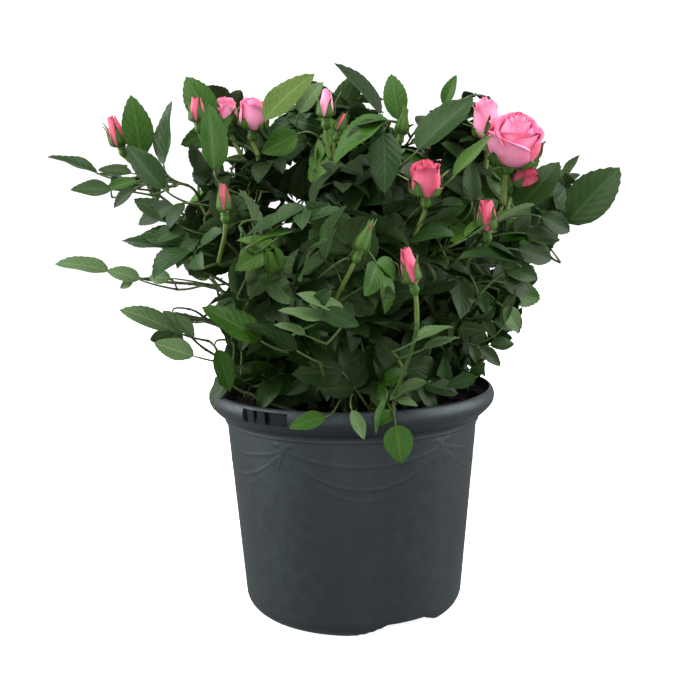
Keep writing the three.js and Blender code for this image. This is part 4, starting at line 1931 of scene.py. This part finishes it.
    def add_sepal(
        self,
        flower: Flower,
        axes: Array,
        foot: Array,
        azimuth: float,
        outline: Array,
        greens: Pile,
        rng: Chance,
    ) -> None:
        """Adds one sepal, a narrow leaf with a long fine tip, which lies outside the petals.

        Args:
            flower: The flower.
            axes: Its own axes.
            foot: Where its petals leave the hip.
            azimuth: The sepal's azimuth about the flower's axis.
            outline: Rows of height and distance that the petals take up.
            greens: Where the sepal goes.
            rng: The source of chance.
        """
        habit = HABITS[flower.stage]
        reach = self.closed_share if flower.stage == Stage.GREEN else self.sepal_share
        length = (flower.height * reach + 6.0) * rng.uniform(0.85, 1.15)
        broad = 1.2 + flower.radius * 0.22 + (1.4 if flower.stage == Stage.GREEN else 0.0)
        rows, columns = 13, 5
        t = np.linspace(0, 1, rows)[:, None]
        s = np.linspace(-1, 1, columns)[None, :]
        half = broad * (0.75 + 0.35 * np.sin(np.pi * np.minimum(t * 1.6, 1.0))) * (1 - t) ** 0.75 + 0.12
        away = habit.sepals * rng.uniform(0.75, 1.2)
        start = math.radians(58.0)
        hug = math.radians(4.0 - 15.0 * (flower.stage in (Stage.GREEN, Stage.SLIT)))
        tilt = start * (1 - ease(0.0, 0.22, t)) + hug * ease(0.0, 0.22, t)
        tilt = tilt + math.radians(away) * ease(0.05, 0.6, t)
        step = length / (rows - 1)
        r = np.cumsum(np.sin(tilt), axis=0) * step + 0.5
        z = np.cumsum(np.cos(tilt), axis=0) * step - 0.4
        petals = np.interp(z, outline[:, 0], outline[:, 1]) * np.minimum(1.0, t / 0.12)
        r = np.maximum(r, petals + self.sepal_gap)
        outward = vec(math.cos(math.radians(azimuth)), math.sin(math.radians(azimuth)), 0.0)
        side = np.cross(UP, outward)
        cup = 0.18 * half * s * s
        grid = (r - cup)[..., None] * outward + (half * s)[..., None] * side + (z + 0 * s)[..., None] * UP
        greens.sheet(foot + grid @ axes, -self.thickness, 0, 1)


# ---- the crown ----


@dataclass(frozen=True)
class LeadLeaf:
    """A leaf that the crown is built round.

    Attributes:
        base: The foot of its last leaflet.
        tip: That leaflet's tip.
        shows: How far its upper side is turned to the front, from 0 for edge-on to 1 for full face.
        tint: Its green.
        broad: Its breadth as a share of its length.
    """

    base: Triple
    tip: Triple
    shows: float
    tint: Tint
    broad: float = 0.52


# These places were first worked out by a separate program. Some were changed, and all were rounded.
LEAD_LEAVES = {
    "left": (
        LeadLeaf((-130, -25, 300), (-136, -20, 338), 0.95, Tint.LIVELY),
        LeadLeaf((-115, -30, 295), (-108, -25, 334), 0.5, Tint.COOL),
        LeadLeaf((-155, -35, 290), (-184, -40, 300), 0.4, Tint.COOL),
        LeadLeaf((-145, -45, 280), (-168, -50, 280), 0.8, Tint.MATURE, 0.56),
        LeadLeaf((-130, -40, 285), (-148, -45, 280), 0.7, Tint.LIVELY, 0.5),
        LeadLeaf((-135, -30, 290), (-156, -30, 292), 0.6, Tint.MATURE),
        LeadLeaf((-110, -60, 280), (-134, -55, 304), 0.95, Tint.COOL),
        LeadLeaf((-100, -70, 245), (-140, -50, 248), 0.5, Tint.COOL),
        LeadLeaf((-95, -65, 250), (-126, -55, 252), 0.8, Tint.MATURE),
        LeadLeaf((-150, -40, 230), (-182, -40, 236), 0.55, Tint.PALE),
        LeadLeaf((-130, -45, 225), (-150, -40, 232), 0.9, Tint.PALE),
        LeadLeaf((-110, -50, 226), (-124, -45, 226), 0.9, Tint.PALE, 0.66),
        LeadLeaf((-134, -45, 224), (-142, -45, 220), 0.9, Tint.PALE, 0.7),
        LeadLeaf((-110, -55, 195), (-140, -55, 208), 0.7, Tint.PALE),
        LeadLeaf((-95, -65, 180), (-120, -60, 186), 0.9, Tint.PALE, 0.6),
        LeadLeaf((-106, -60, 204), (-96, -60, 190), 0.9, Tint.PALE, 0.6),
        LeadLeaf((-105, -60, 260), (-130, -50, 274), 0.7, Tint.MATURE),
        LeadLeaf((-130, -50, 280), (-144, -45, 270), 0.8, Tint.DEEP),
        LeadLeaf((-105, -60, 270), (-128, -50, 260), 0.8, Tint.DEEP),
    ),
    "crest": (
        LeadLeaf((-85, -20, 320), (-102, -10, 350), 1.0, Tint.LIVELY, 0.58),
        LeadLeaf((-80, -60, 290), (-86, -50, 330), 0.75, Tint.LIVELY),
        LeadLeaf((-50, -50, 320), (-22, -40, 348), 0.7, Tint.YOUNG),
        LeadLeaf((20, -20, 325), (-8, -20, 356), 0.45, Tint.DEEP),
        LeadLeaf((30, -40, 320), (28, -30, 348), 1.0, Tint.LIVELY),
        LeadLeaf((60, -20, 330), (68, -20, 348), 0.9, Tint.LIVELY),
        LeadLeaf((40, -75, 300), (72, -60, 330), 0.7, Tint.MATURE),
        LeadLeaf((20, -80, 315), (-8, -100, 292), 0.5, Tint.LIVELY),
        LeadLeaf((20, -80, 310), (22, -95, 276), 1.0, Tint.COOL),
        LeadLeaf((-30, -35, 325), (-16, -30, 344), 0.9, Tint.PALE, 0.6),
        LeadLeaf((-30, -70, 310), (-50, -75, 300), 1.0, Tint.LIVELY, 0.7),
    ),
    "right": (
        LeadLeaf((145, 10, 255), (180, 20, 292), 1.0, Tint.MATURE, 0.6),
        LeadLeaf((100, -60, 265), (130, -45, 292), 0.75, Tint.MATURE, 0.6),
        LeadLeaf((60, -85, 285), (84, -75, 308), 0.4, Tint.FRESH),
        LeadLeaf((70, -85, 270), (68, -80, 294), 0.9, Tint.DEEP),
        LeadLeaf((65, -100, 250), (108, -75, 268), 0.2, Tint.FRESH),
        LeadLeaf((95, -90, 235), (60, -110, 240), 0.3, Tint.COOL),
        LeadLeaf((95, -45, 195), (104, -40, 216), 0.6, Tint.PALE),
        LeadLeaf((95, -45, 205), (106, -40, 190), 0.9, Tint.PALE, 0.66),
        LeadLeaf((110, -30, 250), (134, -20, 244), 0.85, Tint.DEEP),
        LeadLeaf((120, -30, 260), (140, -20, 250), 0.85, Tint.DEEP, 0.62),
        LeadLeaf((105, -35, 240), (128, -25, 232), 0.85, Tint.DEEP, 0.6),
        LeadLeaf((80, -25, 240), (104, -15, 230), 0.9, Tint.DEEP, 0.6),
        LeadLeaf((95, -35, 230), (118, -30, 220), 0.85, Tint.MATURE, 0.6),
        LeadLeaf((95, -40, 220), (114, -30, 212), 0.85, Tint.DEEP, 0.66),
        LeadLeaf((90, -35, 195), (108, -30, 190), 0.9, Tint.COOL),
        LeadLeaf((88, -35, 180), (104, -30, 180), 0.9, Tint.MATURE, 0.6),
        LeadLeaf((80, -45, 180), (94, -40, 168), 0.9, Tint.DEEP),
    ),
    "front": (
        LeadLeaf((-30, -120, 265), (-56, -120, 252), 0.5, Tint.COOL),
        LeadLeaf((-35, -125, 260), (-4, -120, 268), 0.4, Tint.COOL),
        LeadLeaf((-50, -130, 250), (-24, -125, 256), 0.25, Tint.LIVELY),
        LeadLeaf((-50, -110, 195), (-84, -105, 212), 0.7, Tint.LIVELY, 0.6),
        LeadLeaf((-30, -115, 190), (-60, -110, 204), 0.6, Tint.DEEP),
        LeadLeaf((-10, -140, 215), (-28, -140, 224), 0.6, Tint.PALE),
        LeadLeaf((-15, -140, 210), (-38, -140, 214), 0.6, Tint.PALE),
        LeadLeaf((-24, -140, 202), (-40, -140, 208), 0.6, Tint.PALE),
        LeadLeaf((-15, -140, 215), (4, -140, 206), 1.0, Tint.COOL),
        LeadLeaf((35, -120, 195), (56, -110, 202), 0.5, Tint.PALE),
        LeadLeaf((40, -115, 190), (60, -110, 196), 0.5, Tint.PALE),
        LeadLeaf((-80, -75, 185), (-72, -70, 160), 0.9, Tint.LIVELY),
        LeadLeaf((-25, -60, 165), (-40, -60, 154), 1.0, Tint.DEEP),
        LeadLeaf((45, -80, 165), (22, -85, 156), 0.5, Tint.PALE),
        LeadLeaf((26, -85, 156), (38, -90, 152), 0.8, Tint.PALE),
        LeadLeaf((76, -60, 164), (58, -60, 160), 1.0, Tint.MATURE),
        LeadLeaf((-15, -105, 150), (-36, -105, 146), 0.95, Tint.LIVELY),
        LeadLeaf((0, -105, 154), (6, -110, 138), 0.85, Tint.PALE),
        LeadLeaf((20, -100, 160), (14, -105, 140), 0.5, Tint.LIVELY),
        LeadLeaf((25, -105, 145), (28, -110, 124), 1.0, Tint.LIVELY, 0.8),
    ),
}


@dataclass(frozen=True)
class SkyGap:
    """A gap right through the crown, seen from the front.

    Attributes:
        x: Where it is from left to right, half-way through the crown.
        z: Its height there.
        radius: Half its breadth.
    """

    x: float
    z: float
    radius: float


# Most of these places were first worked out by a separate program, then changed by hand.
SKY_GAPS = (
    SkyGap(-112, 332, 6),
    SkyGap(-113, 316, 7),
    SkyGap(-114, 302, 7),
    SkyGap(-113, 289, 5),
    SkyGap(-111, 276, 3),
    SkyGap(-76, 304, 4),
    SkyGap(-50, 267, 4),
    SkyGap(-104, 246, 4),
    SkyGap(-132, 266, 4),
    SkyGap(-132, 238, 3),
    SkyGap(-116, 230, 3),
    SkyGap(-128, 213, 5),
    SkyGap(-114, 208, 3),
    SkyGap(-140, 212, 5),
    SkyGap(-96, 214, 3),
    SkyGap(-84, 220, 4),
    SkyGap(-98, 176, 3),
    SkyGap(-90, 171, 3),
    SkyGap(-132, 167, 10),
    SkyGap(-112, 162, 7),
    SkyGap(-78, 347, 6),
    SkyGap(-11, 350, 6),
    SkyGap(98, 172, 3),
    SkyGap(100, 348, 14),
    SkyGap(125, 336, 12),
    SkyGap(140, 302, 7),
    SkyGap(150, 316, 14),
    SkyGap(162, 236, 17),
    SkyGap(144, 210, 16),
    SkyGap(134, 184, 15),
    SkyGap(-172, 262, 14),
    SkyGap(-168, 215, 10),
)


class Lanes:
    """The open views on the flowers and the lead leaves, which all other leaves leave free."""

    def __init__(self) -> None:
        """Starts with none."""
        self.starts = np.empty((0, 3))
        self.ways = np.empty((0, 3))
        self.radii = np.empty(0)
        self.reaches = np.empty(0)

    def open(self, start: Array, way: Array, radius: float, reach: float = 75.0) -> None:
        """Opens a view.

        Args:
            start: The middle of what is seen.
            way: Where it is seen from.
            radius: Half the view's breadth.
            reach: How far in front of the start it is kept open.
        """
        self.starts = np.vstack([self.starts, start])
        self.ways = np.vstack([self.ways, unit(way)])
        self.radii = np.append(self.radii, radius)
        self.reaches = np.append(self.reaches, reach)

    def free(self, points: Array) -> bool:
        """Whether points leave every view free.

        Args:
            points: The points, one a row.

        Returns:
            True if all of them do.
        """
        gap = points[:, None] - self.starts
        along = np.clip(np.einsum("pnk,nk->pn", gap, self.ways), 0.0, self.reaches)
        off = np.linalg.norm(gap - along[..., None] * self.ways, axis=-1)
        return bool(np.all(off > self.radii))


@dataclass
class Crown:
    """The leaves and flowers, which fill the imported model's masses."""

    masses: dict[str, Mass]
    network: Network
    pot: Pot
    spacing: float = 18.5
    overhang: float = 4.0
    inner_spacing: float = 20.0
    inner_depth: float = 12.0
    inner_tries: int = 12000
    gap_depth: float = 190.0
    gap_margin: float = 2.5
    seed: int = 42
    top_height: float = 315.0
    stalk_back: float = 9.0
    stalk_inward: float = 16.0
    stalk_bend: float = 7.0
    low_stalk_inset: float = 34.0
    low_stalk_depth: float = 4.0
    low_stalk_rise: float = 16.0
    stem_shares: tuple[float, ...] = (0.3, 0.6, 0.9)
    stem_room: float = 5.0
    leaf_shares: tuple[float, ...] = (0.2, 0.5, 0.8)
    stout_least: float = 0.5
    stout_rate: float = 0.01
    stalk_swell: float = 1.25
    stalk_taper: float = 0.7
    maker: LeafMaker = field(default_factory=LeafMaker)
    sprays: Sprays = field(default_factory=Sprays)
    flower_maker: FlowerMaker = field(default_factory=FlowerMaker)
    lanes: Lanes = field(default_factory=Lanes)

    def depth(self, point: Array) -> float:
        """How far a point is inside the masses, or outside them if below zero."""
        return max(mass.depth(point) for mass in self.masses.values())

    def outer_points(self, rng: Chance) -> list[Spot]:
        """Points all over the outside of the masses, in no order.

        Args:
            rng: The source of chance.

        Returns:
            Each point, the way the surface faces there, and the name of its mass.
        """
        found = []
        for name, mass in self.masses.items():
            others = [m for n, m in self.masses.items() if n != name]
            for point, face in zip(*mass.scatter(5.5, rng)):
                if max(m.depth(point) for m in others) < -2.0:
                    found.append((point, face, name))
        rng.shuffle(found)
        return self.spread(found, self.spacing)

    def inner_points(self, rng: Chance) -> list[Spot]:
        """Points in the depth of the crown.

        Args:
            rng: The source of chance.

        Returns:
            Each point, the way out from there, and the name of its mass.
        """
        low = np.min([mass.low for mass in self.masses.values()], axis=0)
        high = np.max([mass.high for mass in self.masses.values()], axis=0)
        found = []
        for point in rng.uniform(low, high, (self.inner_tries, 3)):
            name, mass = max(self.masses.items(), key=lambda item: item[1].depth(point))
            if mass.depth(point) > self.inner_depth:
                found.append((point, unit(point - vec(0.0, 0.0, 190.0)), name))
        for point in rng.uniform((-85.0, -85.0, 160.0), (85.0, 85.0, 222.0), (self.inner_tries // 4, 3)):
            if math.hypot(point[0], point[1]) < 85.0:
                found.append((point, unit(point * vec(1.0, 1.0, 0.0) + UP * 25.0), "leaves_heart"))
        return self.spread(found, self.inner_spacing)

    def spread(
        self, found: Iterable[Spot], spacing: float
    ) -> list[Spot]:
        """Those of some points that keep a spacing.

        Args:
            found: The points to pick from.
            spacing: How far apart they are kept.

        Returns:
            The picked points.
        """
        kept: list[Spot] = []
        places = np.empty((0, 3))
        for point, face, name in found:
            if len(places) and np.min(np.linalg.norm(places - point, axis=1)) < spacing:
                continue
            places = np.vstack([places, point])
            kept.append((point, face, name))
        return kept

    def clear_of_pot(self, point: Array) -> bool:
        """Whether a point is off the pot and the mix.

        Args:
            point: The point.

        Returns:
            True if it is.
        """
        distance = math.hypot(point[0], point[1])
        if distance > self.pot.rim + 2.0:
            return point[2] > 4.0
        on_rim = distance > self.pot.rim - 9.0
        return point[2] > (self.pot.height + 1.5 if on_rim else self.pot.height - 8.0)

    def over_pot(self, point: Array) -> bool:
        """Whether a point is just over the pot's rim, or outside it and low."""
        return math.hypot(point[0], point[1]) > self.pot.rim - 8.0 and point[2] < self.pot.height + 18.0

    def fits(self, spray: Spray, overhang: float) -> bool:
        """Whether a leaf stays in the crown, and off the pot and the open views.

        Args:
            spray: The planned leaf.
            overhang: How far its tips may stand out of the masses.

        Returns:
            True if it fits.
        """
        spots = []
        for leaflet in spray.leaflets:
            tip = leaflet.tip()
            spots += [tip, (tip + leaflet.base) / 2, leaflet.base]
        if not all(self.clear_of_pot(spot) for spot in spots) or not self.lanes.free(np.array(spots)):
            return False
        return all(self.depth(spot) > -overhang for spot in spots[::3] + spots[1::3])

    def tint_for(
        self, point: Array, face: Array, mass: str, inner: bool, rng: Chance
    ) -> Tint:
        """The green of a leaf, by its place in the crown.

        Args:
            point: The leaf's tip.
            face: The way the crown's surface faces there.
            mass: The name of its mass.
            inner: Whether it is deep in the crown.
            rng: The source of chance.

        Returns:
            The leaf's green.
        """
        low = mass.startswith("leaves_skirt") or mass.endswith("_low") or mass.endswith("reach")
        place = "side"
        if inner:
            place = "inside"
        elif face[2] < -0.5:
            place = "underneath"
        elif low:
            place = "low"
        elif point[2] > self.top_height:
            place = "top"
        shares = TINT_SHARES[place]
        return Tint(int(rng.choice(len(shares), p=shares)))

    def plan_outer(self, tip: Array, face: Array, mass: str, rng: Chance) -> Spray | None:
        """Plans a leaf whose tip comes near a point on the crown's outside.

        Args:
            tip: Where its tip is wanted.
            face: The way the crown's surface faces there.
            mass: The name of the mass.
            rng: The source of chance.

        Returns:
            A leaf that fits, or None.
        """
        tint = self.tint_for(tip, face, mass, False, rng)
        size = rng.uniform(0.84, 1.14) * (0.82 if tint in (Tint.YOUNG, Tint.FRESH) else 1.0)
        for attempt in range(9):
            shrink = size * 0.92**attempt
            pairs = int(rng.choice([1, 2, 3], p=[0.36, 0.54, 0.1])) if attempt < 4 else 1
            aside = square_to(face, rng.normal(size=3) + UP * 0.75)
            tilt = math.radians(rng.uniform(18.0, 74.0))
            heading = unit(face * math.cos(tilt) + aside * math.sin(tilt))
            upper = unit(UP * 0.6 + face * 0.7 + rng.normal(size=3) * 0.28)
            base = tip - heading * self.sprays.reach(shrink, pairs) * 0.94
            if self.depth(base) < 2.0 or not self.clear_of_pot(base - UP * 3.0):
                continue
            droop = rng.uniform(4.0, 30.0)
            setting_out = turned(heading, np.cross(square_to(heading, upper), heading), -droop * 0.5)
            spray = self.sprays.plan(base, setting_out, upper, shrink, pairs, droop, tint, rng)
            if self.fits(spray, self.overhang):
                return spray
        return None

    def plan_inner(self, middle: Array, out: Array, mass: str, rng: Chance) -> Spray | None:
        """Plans a leaf in the depth of the crown.

        Args:
            middle: Where its middle is wanted.
            out: The way out of the crown.
            mass: The name of the mass.
            rng: The source of chance.

        Returns:
            A leaf that fits, or None.
        """
        tint = self.tint_for(middle, out, mass, True, rng)
        for attempt in range(4):
            size = rng.uniform(0.75, 1.05) * 0.9**attempt
            heading = unit(out * 0.6 + UP * 0.35 + rng.normal(size=3) * 0.5)
            upper = unit(UP * 0.8 + out * 0.5 + rng.normal(size=3) * 0.35)
            base = middle - heading * self.sprays.reach(size, 2) * 0.6
            if not self.clear_of_pot(base - UP * 2.0):
                continue
            spray = self.sprays.plan(base, heading, upper, size, 2, rng.uniform(6.0, 40.0), tint, rng)
            if self.fits(spray, 24.0 if middle[2] < 225.0 else 2.0):
                return spray
        return None

    def plan_lead(self, lead: LeadLeaf, rng: Chance) -> Spray:
        """Plans a lead leaf.

        Args:
            lead: The lead leaf.
            rng: The source of chance.

        Returns:
            The leaf, with smaller leaflets beside its stalk where there is room.
        """
        base, tip = vec(*lead.base), vec(*lead.tip)
        way, length = unit(tip - base), float(np.linalg.norm(tip - base))
        to_front = square_to(way, FRONT_VIEW - base)
        turn = math.degrees(math.acos(min(lead.shows, 1.0)))
        face = max((turned(to_front, way, side * turn) for side in (-1, 1)), key=lambda f: float(f[2]))
        droop = rng.uniform(8.0, 22.0)
        bend = math.radians(droop) * 0.45
        heading = way * math.cos(bend) + face * math.sin(bend)
        face = face * math.cos(bend) - way * math.sin(bend)
        inward = unit(vec(0.0, 0.0, base[2] - 30.0) - base)
        root = base - heading * self.stalk_back + inward * self.stalk_inward
        leaving = root - inward * self.stalk_bend
        if self.over_pot(base):
            azimuth = math.degrees(math.atan2(base[0], -base[1])) + 3.0
            distance = self.pot.rim - self.low_stalk_inset
            root = polar(azimuth, distance, self.pot.height - self.low_stalk_depth)
            leaving = root + UP * self.low_stalk_rise
        stalk = bezier(root, leaving, base - heading * 8.0, base, 8)
        blade = Leaflet(base, heading, face, length * 1.02, length * lead.broad, droop)
        spray = Spray(stalk, [blade], lead.tint)
        for side in (-1, 1):
            out = turned(unit(stalk[6] - stalk[5]), face, side * rng.uniform(52.0, 64.0))
            beside = self.sprays.leaflet_at(stalk[5], out, face, length * 0.72, rng)
            if self.fits(Spray(stalk, [beside], lead.tint), 0.0):
                spray.leaflets.append(beside)
        return spray

    def open_views(self) -> None:
        """Keeps the views on the flowers, their stems and the lead leaves free, and the gaps to the sky."""
        for gap in SKY_GAPS:
            way = FRONT_VIEW - vec(gap.x, 0.0, gap.z)
            far = vec(gap.x, 0.0, gap.z) - unit(way) * self.gap_depth
            self.lanes.open(far, way, gap.radius + self.gap_margin, 2.0 * self.gap_depth)
        for flower in FLOWERS:
            middle, knee = vec(*flower.at), vec(*flower.stem)
            at_front = middle[1] < 20.0
            way = FRONT_VIEW - middle if at_front else vec(middle[0], middle[1], 60.0)
            self.lanes.open(middle, way, max(flower.radius, flower.height * 0.5) + 2.5)
            if at_front:
                for share in self.stem_shares:
                    self.lanes.open(middle + (knee - middle) * share, way, self.stem_room)
        for lead in (lead for leads in LEAD_LEAVES.values() for lead in leads):
            base, tip = vec(*lead.base), vec(*lead.tip)
            radius = float(np.linalg.norm(tip - base)) * 0.15 + 3.5
            for share in self.leaf_shares:
                self.lanes.open(base + (tip - base) * share, FRONT_VIEW - base, radius)

    def group_of(self, mass: str) -> str:
        """The part of the crown that a mass is in.

        Args:
            mass: The mass's name.

        Returns:
            The part's name.
        """
        for group in ("crest", "left", "right", "back"):
            if f"_{group}" in mass and "front" not in mass and not ("back" in mass and group != "back"):
                return group
        return "front"

    def build(self) -> list[Piece]:
        """Grows the crown.

        Returns:
            Its objects.
        """
        rng = np.random.default_rng(self.seed)
        greens, petals, stalks = Pile(), Pile(), Pile()
        for flower in FLOWERS:
            self.flower_maker.add(flower, petals, greens)
            self.add_stem(flower, stalks)
        planned = []
        for group, leads in LEAD_LEAVES.items():
            planned += [(self.plan_lead(lead, rng), group, False, True) for lead in leads]
        self.open_views()
        for point, face, name in self.outer_points(rng):
            spray = self.plan_outer(point + face * 2.0, face, name, rng)
            if spray:
                planned.append((spray, self.group_of(name), False, False))
        log.info("%d leaves on the outside", len(planned))
        for point, out, name in self.inner_points(rng):
            spray = self.plan_inner(point, out, name, rng)
            if spray:
                planned.append((spray, self.group_of(name), True, False))
        log.info("%d leaves in all", len(planned))
        planned.sort(key=lambda item: float(np.linalg.norm(item[0].stalk[0] - vec(0, 0, 200))))
        piles = {group: Pile() for group in ("front", "left", "right", "back", "crest")}
        for spray, group, inner, lead in planned:
            stout = self.stout_least + self.stout_rate * spray.leaflets[0].length
            twig = self.network.twig_to(spray.stalk[0], unit(spray.stalk[1] - spray.stalk[0]), stout)
            if not lead and not self.lanes.free(twig.line[2:]):
                continue
            self.network.add(twig)
            radii = np.linspace(stout, stout * self.stalk_taper, len(spray.stalk))
            radii[0] = stout * self.stalk_swell
            stalks.tube(spray.stalk, radii, 5)
            for leaflet in spray.leaflets:
                self.maker.add(piles[group], leaflet, spray.tint, inner, rng)
        return self.dress(piles, petals, greens) + Wood(self.network).build(stalks)

    def add_stem(self, flower: Flower, stalks: Pile) -> None:
        """Adds a flower's stem, down to the nearest wood.

        Args:
            flower: The flower.
            stalks: Where the stem goes.
        """
        axis = unit(vec(*flower.lean))
        neck = flower.foot() - axis * (3.0 + 0.12 * flower.radius)
        knee = vec(*flower.stem)
        heading = unit(neck - knee)
        self.network.add(self.network.twig_to(knee, heading, 1.25))
        thick = 1.0 + flower.radius * 0.045
        reach = float(np.linalg.norm(neck - knee))
        line = bezier(knee, knee + heading * reach * 0.35, neck - axis * reach * 0.35, neck, 9)
        stalks.tube(line, np.linspace(thick + 0.15, thick, 9), 8, 1)

    def dress(self, piles: dict[str, Pile], petals: Pile, greens: Pile) -> list[Piece]:
        """Turns the piles into pieces.

        Args:
            piles: The leaves, by the part of the crown.
            petals: The petals.
            greens: The hips and sepals.

        Returns:
            The new objects.
        """
        leaf_materials = [LEAF_FINISHES[tint].material() for tint in Tint]
        pieces = []
        for group, pile in piles.items():
            piece = pile.build(f"leaves_of_{group}", leaf_materials, tiled=True)
            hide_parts(*[name for name in self.masses if self.group_of(name) == group])
            pieces.append(piece)
        petal_materials = [PETAL_FINISHES[part].material() for part in Petals]
        pieces.append(petals.build("rose_petals", petal_materials, tiled=True))
        sepal = LeafSkin("sepal", (66, 98, 38), (88, 118, 58), 0.5)
        sepal_inside = LeafSkin("sepal_inside", (114, 138, 84), (132, 154, 102), 0.6)
        green_materials = [sepal.material(), sepal_inside.material()]
        pieces.append(greens.build("hips_and_sepals", green_materials, tiled=True))
        for piece in pieces:
            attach(piece, BODY)
        return pieces


# ---- the studio ----


@dataclass(frozen=True)
class SoftBox:
    """A large, soft light."""

    name: str
    at: Triple
    size: tuple[float, float]
    power: float
    tint: Triple = (1.0, 1.0, 1.0)

    def build(self, aim: Triple) -> Piece:
        """Sets up the light.

        Args:
            aim: The point it is turned to, in metres.

        Returns:
            The light's object.
        """
        lamp = bpy.data.lights.new(self.name, "AREA")
        lamp.shape = "RECTANGLE"
        lamp.size, lamp.size_y = self.size
        lamp.energy = self.power
        lamp.color = self.tint
        light = bpy.data.objects.new(self.name, lamp)
        light.location = self.at
        light.rotation_mode = "QUATERNION"
        light.rotation_quaternion = (Vector(aim) - Vector(self.at)).to_track_quat("-Z", "Y")
        bpy.context.scene.collection.objects.link(light)
        return light


@dataclass
class Studio:
    """White paper, soft light from both sides and above, and a camera just above the rim's height."""

    camera_at: Triple = tuple(FRONT_VIEW * MM)
    pitch: float = 8.48
    roll: float = -0.69
    lens: float = 51.74
    shift: float = -0.0016
    ambient: float = 0.36
    floor_reach: float = 3.0
    backdrop_radius: float = 7.0
    backdrop_sides: int = 24
    aim: Triple = (0.0, 0.0, 0.2)
    boxes: tuple[SoftBox, ...] = (
        SoftBox("soft_box_left", (-1.3, -0.1, 0.62), (1.0, 1.3), 31.0, (0.94, 0.975, 1.0)),
        SoftBox("soft_box_right", (1.3, -0.1, 0.6), (1.0, 1.3), 23.0, (0.96, 0.985, 1.0)),
        SoftBox("soft_box_top", (0.0, -0.35, 1.55), (1.5, 1.2), 24.0),
        SoftBox("soft_box_back", (0.0, 1.3, 0.9), (1.6, 1.0), 5.0),
        SoftBox("soft_box_front", (-0.2, -1.6, 0.75), (1.2, 0.9), 4.6),
        SoftBox("soft_box_low", (0.0, -1.1, 0.05), (1.8, 0.3), 4.2),
    )

    def build_camera(self) -> Piece:
        """Sets up the camera.

        Returns:
            The camera's object.
        """
        camera = bpy.data.objects.new("camera", bpy.data.cameras.new("camera"))
        camera.data.lens = self.lens
        camera.data.sensor_width = 36.0
        camera.data.shift_x = self.shift
        pitched = Matrix.Rotation(math.radians(90.0 - self.pitch), 4, "X")
        rolled = Matrix.Rotation(math.radians(self.roll), 4, "Z")
        camera.matrix_world = Matrix.Translation(self.camera_at) @ (pitched @ rolled)
        bpy.context.scene.collection.objects.link(camera)
        bpy.context.scene.camera = camera
        return camera

    def build_paper(self) -> list[Piece]:
        """Lays the floor and hangs the far backdrop, which only the camera sees.

        Returns:
            The two stage objects.
        """
        floor_mesh = bpy.data.meshes.new("floor")
        reach = self.floor_reach
        corners = [(-reach, -reach, 0), (reach, -reach, 0), (reach, reach, 0), (-reach, reach, 0)]
        floor_mesh.from_pydata(corners, [], [(0, 1, 2, 3)])
        floor_mesh.materials.append(StudioPaper().material())
        floor = bpy.data.objects.new("floor", floor_mesh)
        backdrop_mesh = bpy.data.meshes.new("backdrop")
        away, sides = self.backdrop_radius, self.backdrop_sides
        rings = [(away * math.cos(e), away * math.sin(e)) for e in np.linspace(-1.4, 1.4, 13)]
        points = [
            (r * math.cos(2 * math.pi * k / sides), r * math.sin(2 * math.pi * k / sides), z)
            for r, z in rings
            for k in range(sides)
        ]
        faces = ring_faces(len(rings), sides)
        faces += [list(range(sides)), [(len(rings) - 1) * sides + k for k in range(sides)]]
        backdrop_mesh.from_pydata(points, [], faces)
        backdrop_mesh.materials.append(shine_box("backdrop_white"))
        backdrop = bpy.data.objects.new("backdrop", backdrop_mesh)
        for paper in (floor, backdrop):
            bpy.context.scene.collection.objects.link(paper)
            paper.visible_diffuse = False
            paper.visible_glossy = False
            paper.visible_transmission = False
            paper.visible_shadow = False
        return [floor, backdrop]

    def build(self) -> None:
        """Sets up the camera, the paper and the lights."""
        self.build_camera()
        self.build_paper()
        world = bpy.data.worlds.new("studio")
        world.use_nodes = True
        world.node_tree.nodes["Background"].inputs["Color"].default_value = (1.0, 1.0, 1.0, 1.0)
        world.node_tree.nodes["Background"].inputs["Strength"].default_value = self.ambient
        bpy.context.scene.world = world
        for box in self.boxes:
            box.build(self.aim)
        bpy.context.scene.view_settings.view_transform = "Standard"


def main() -> None:
    """Builds the rose and its studio."""
    logging.basicConfig(level=logging.INFO, format="%(message)s")
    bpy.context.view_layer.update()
    Studio().build()
    pot = Pot()
    pieces = [pot.build(), PottingMix(pot).build()]
    masses = {name: Mass.of(name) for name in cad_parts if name.startswith("leaves_")}
    network = Network()
    Canes(masses).grow(network)
    pieces += Crown(masses, network, pot).build()
    for piece in pieces:
        log.info("piece %s has %d faces", piece.name, len(piece.data.polygons))
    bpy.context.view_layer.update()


if __name__ == "__main__":
    main()
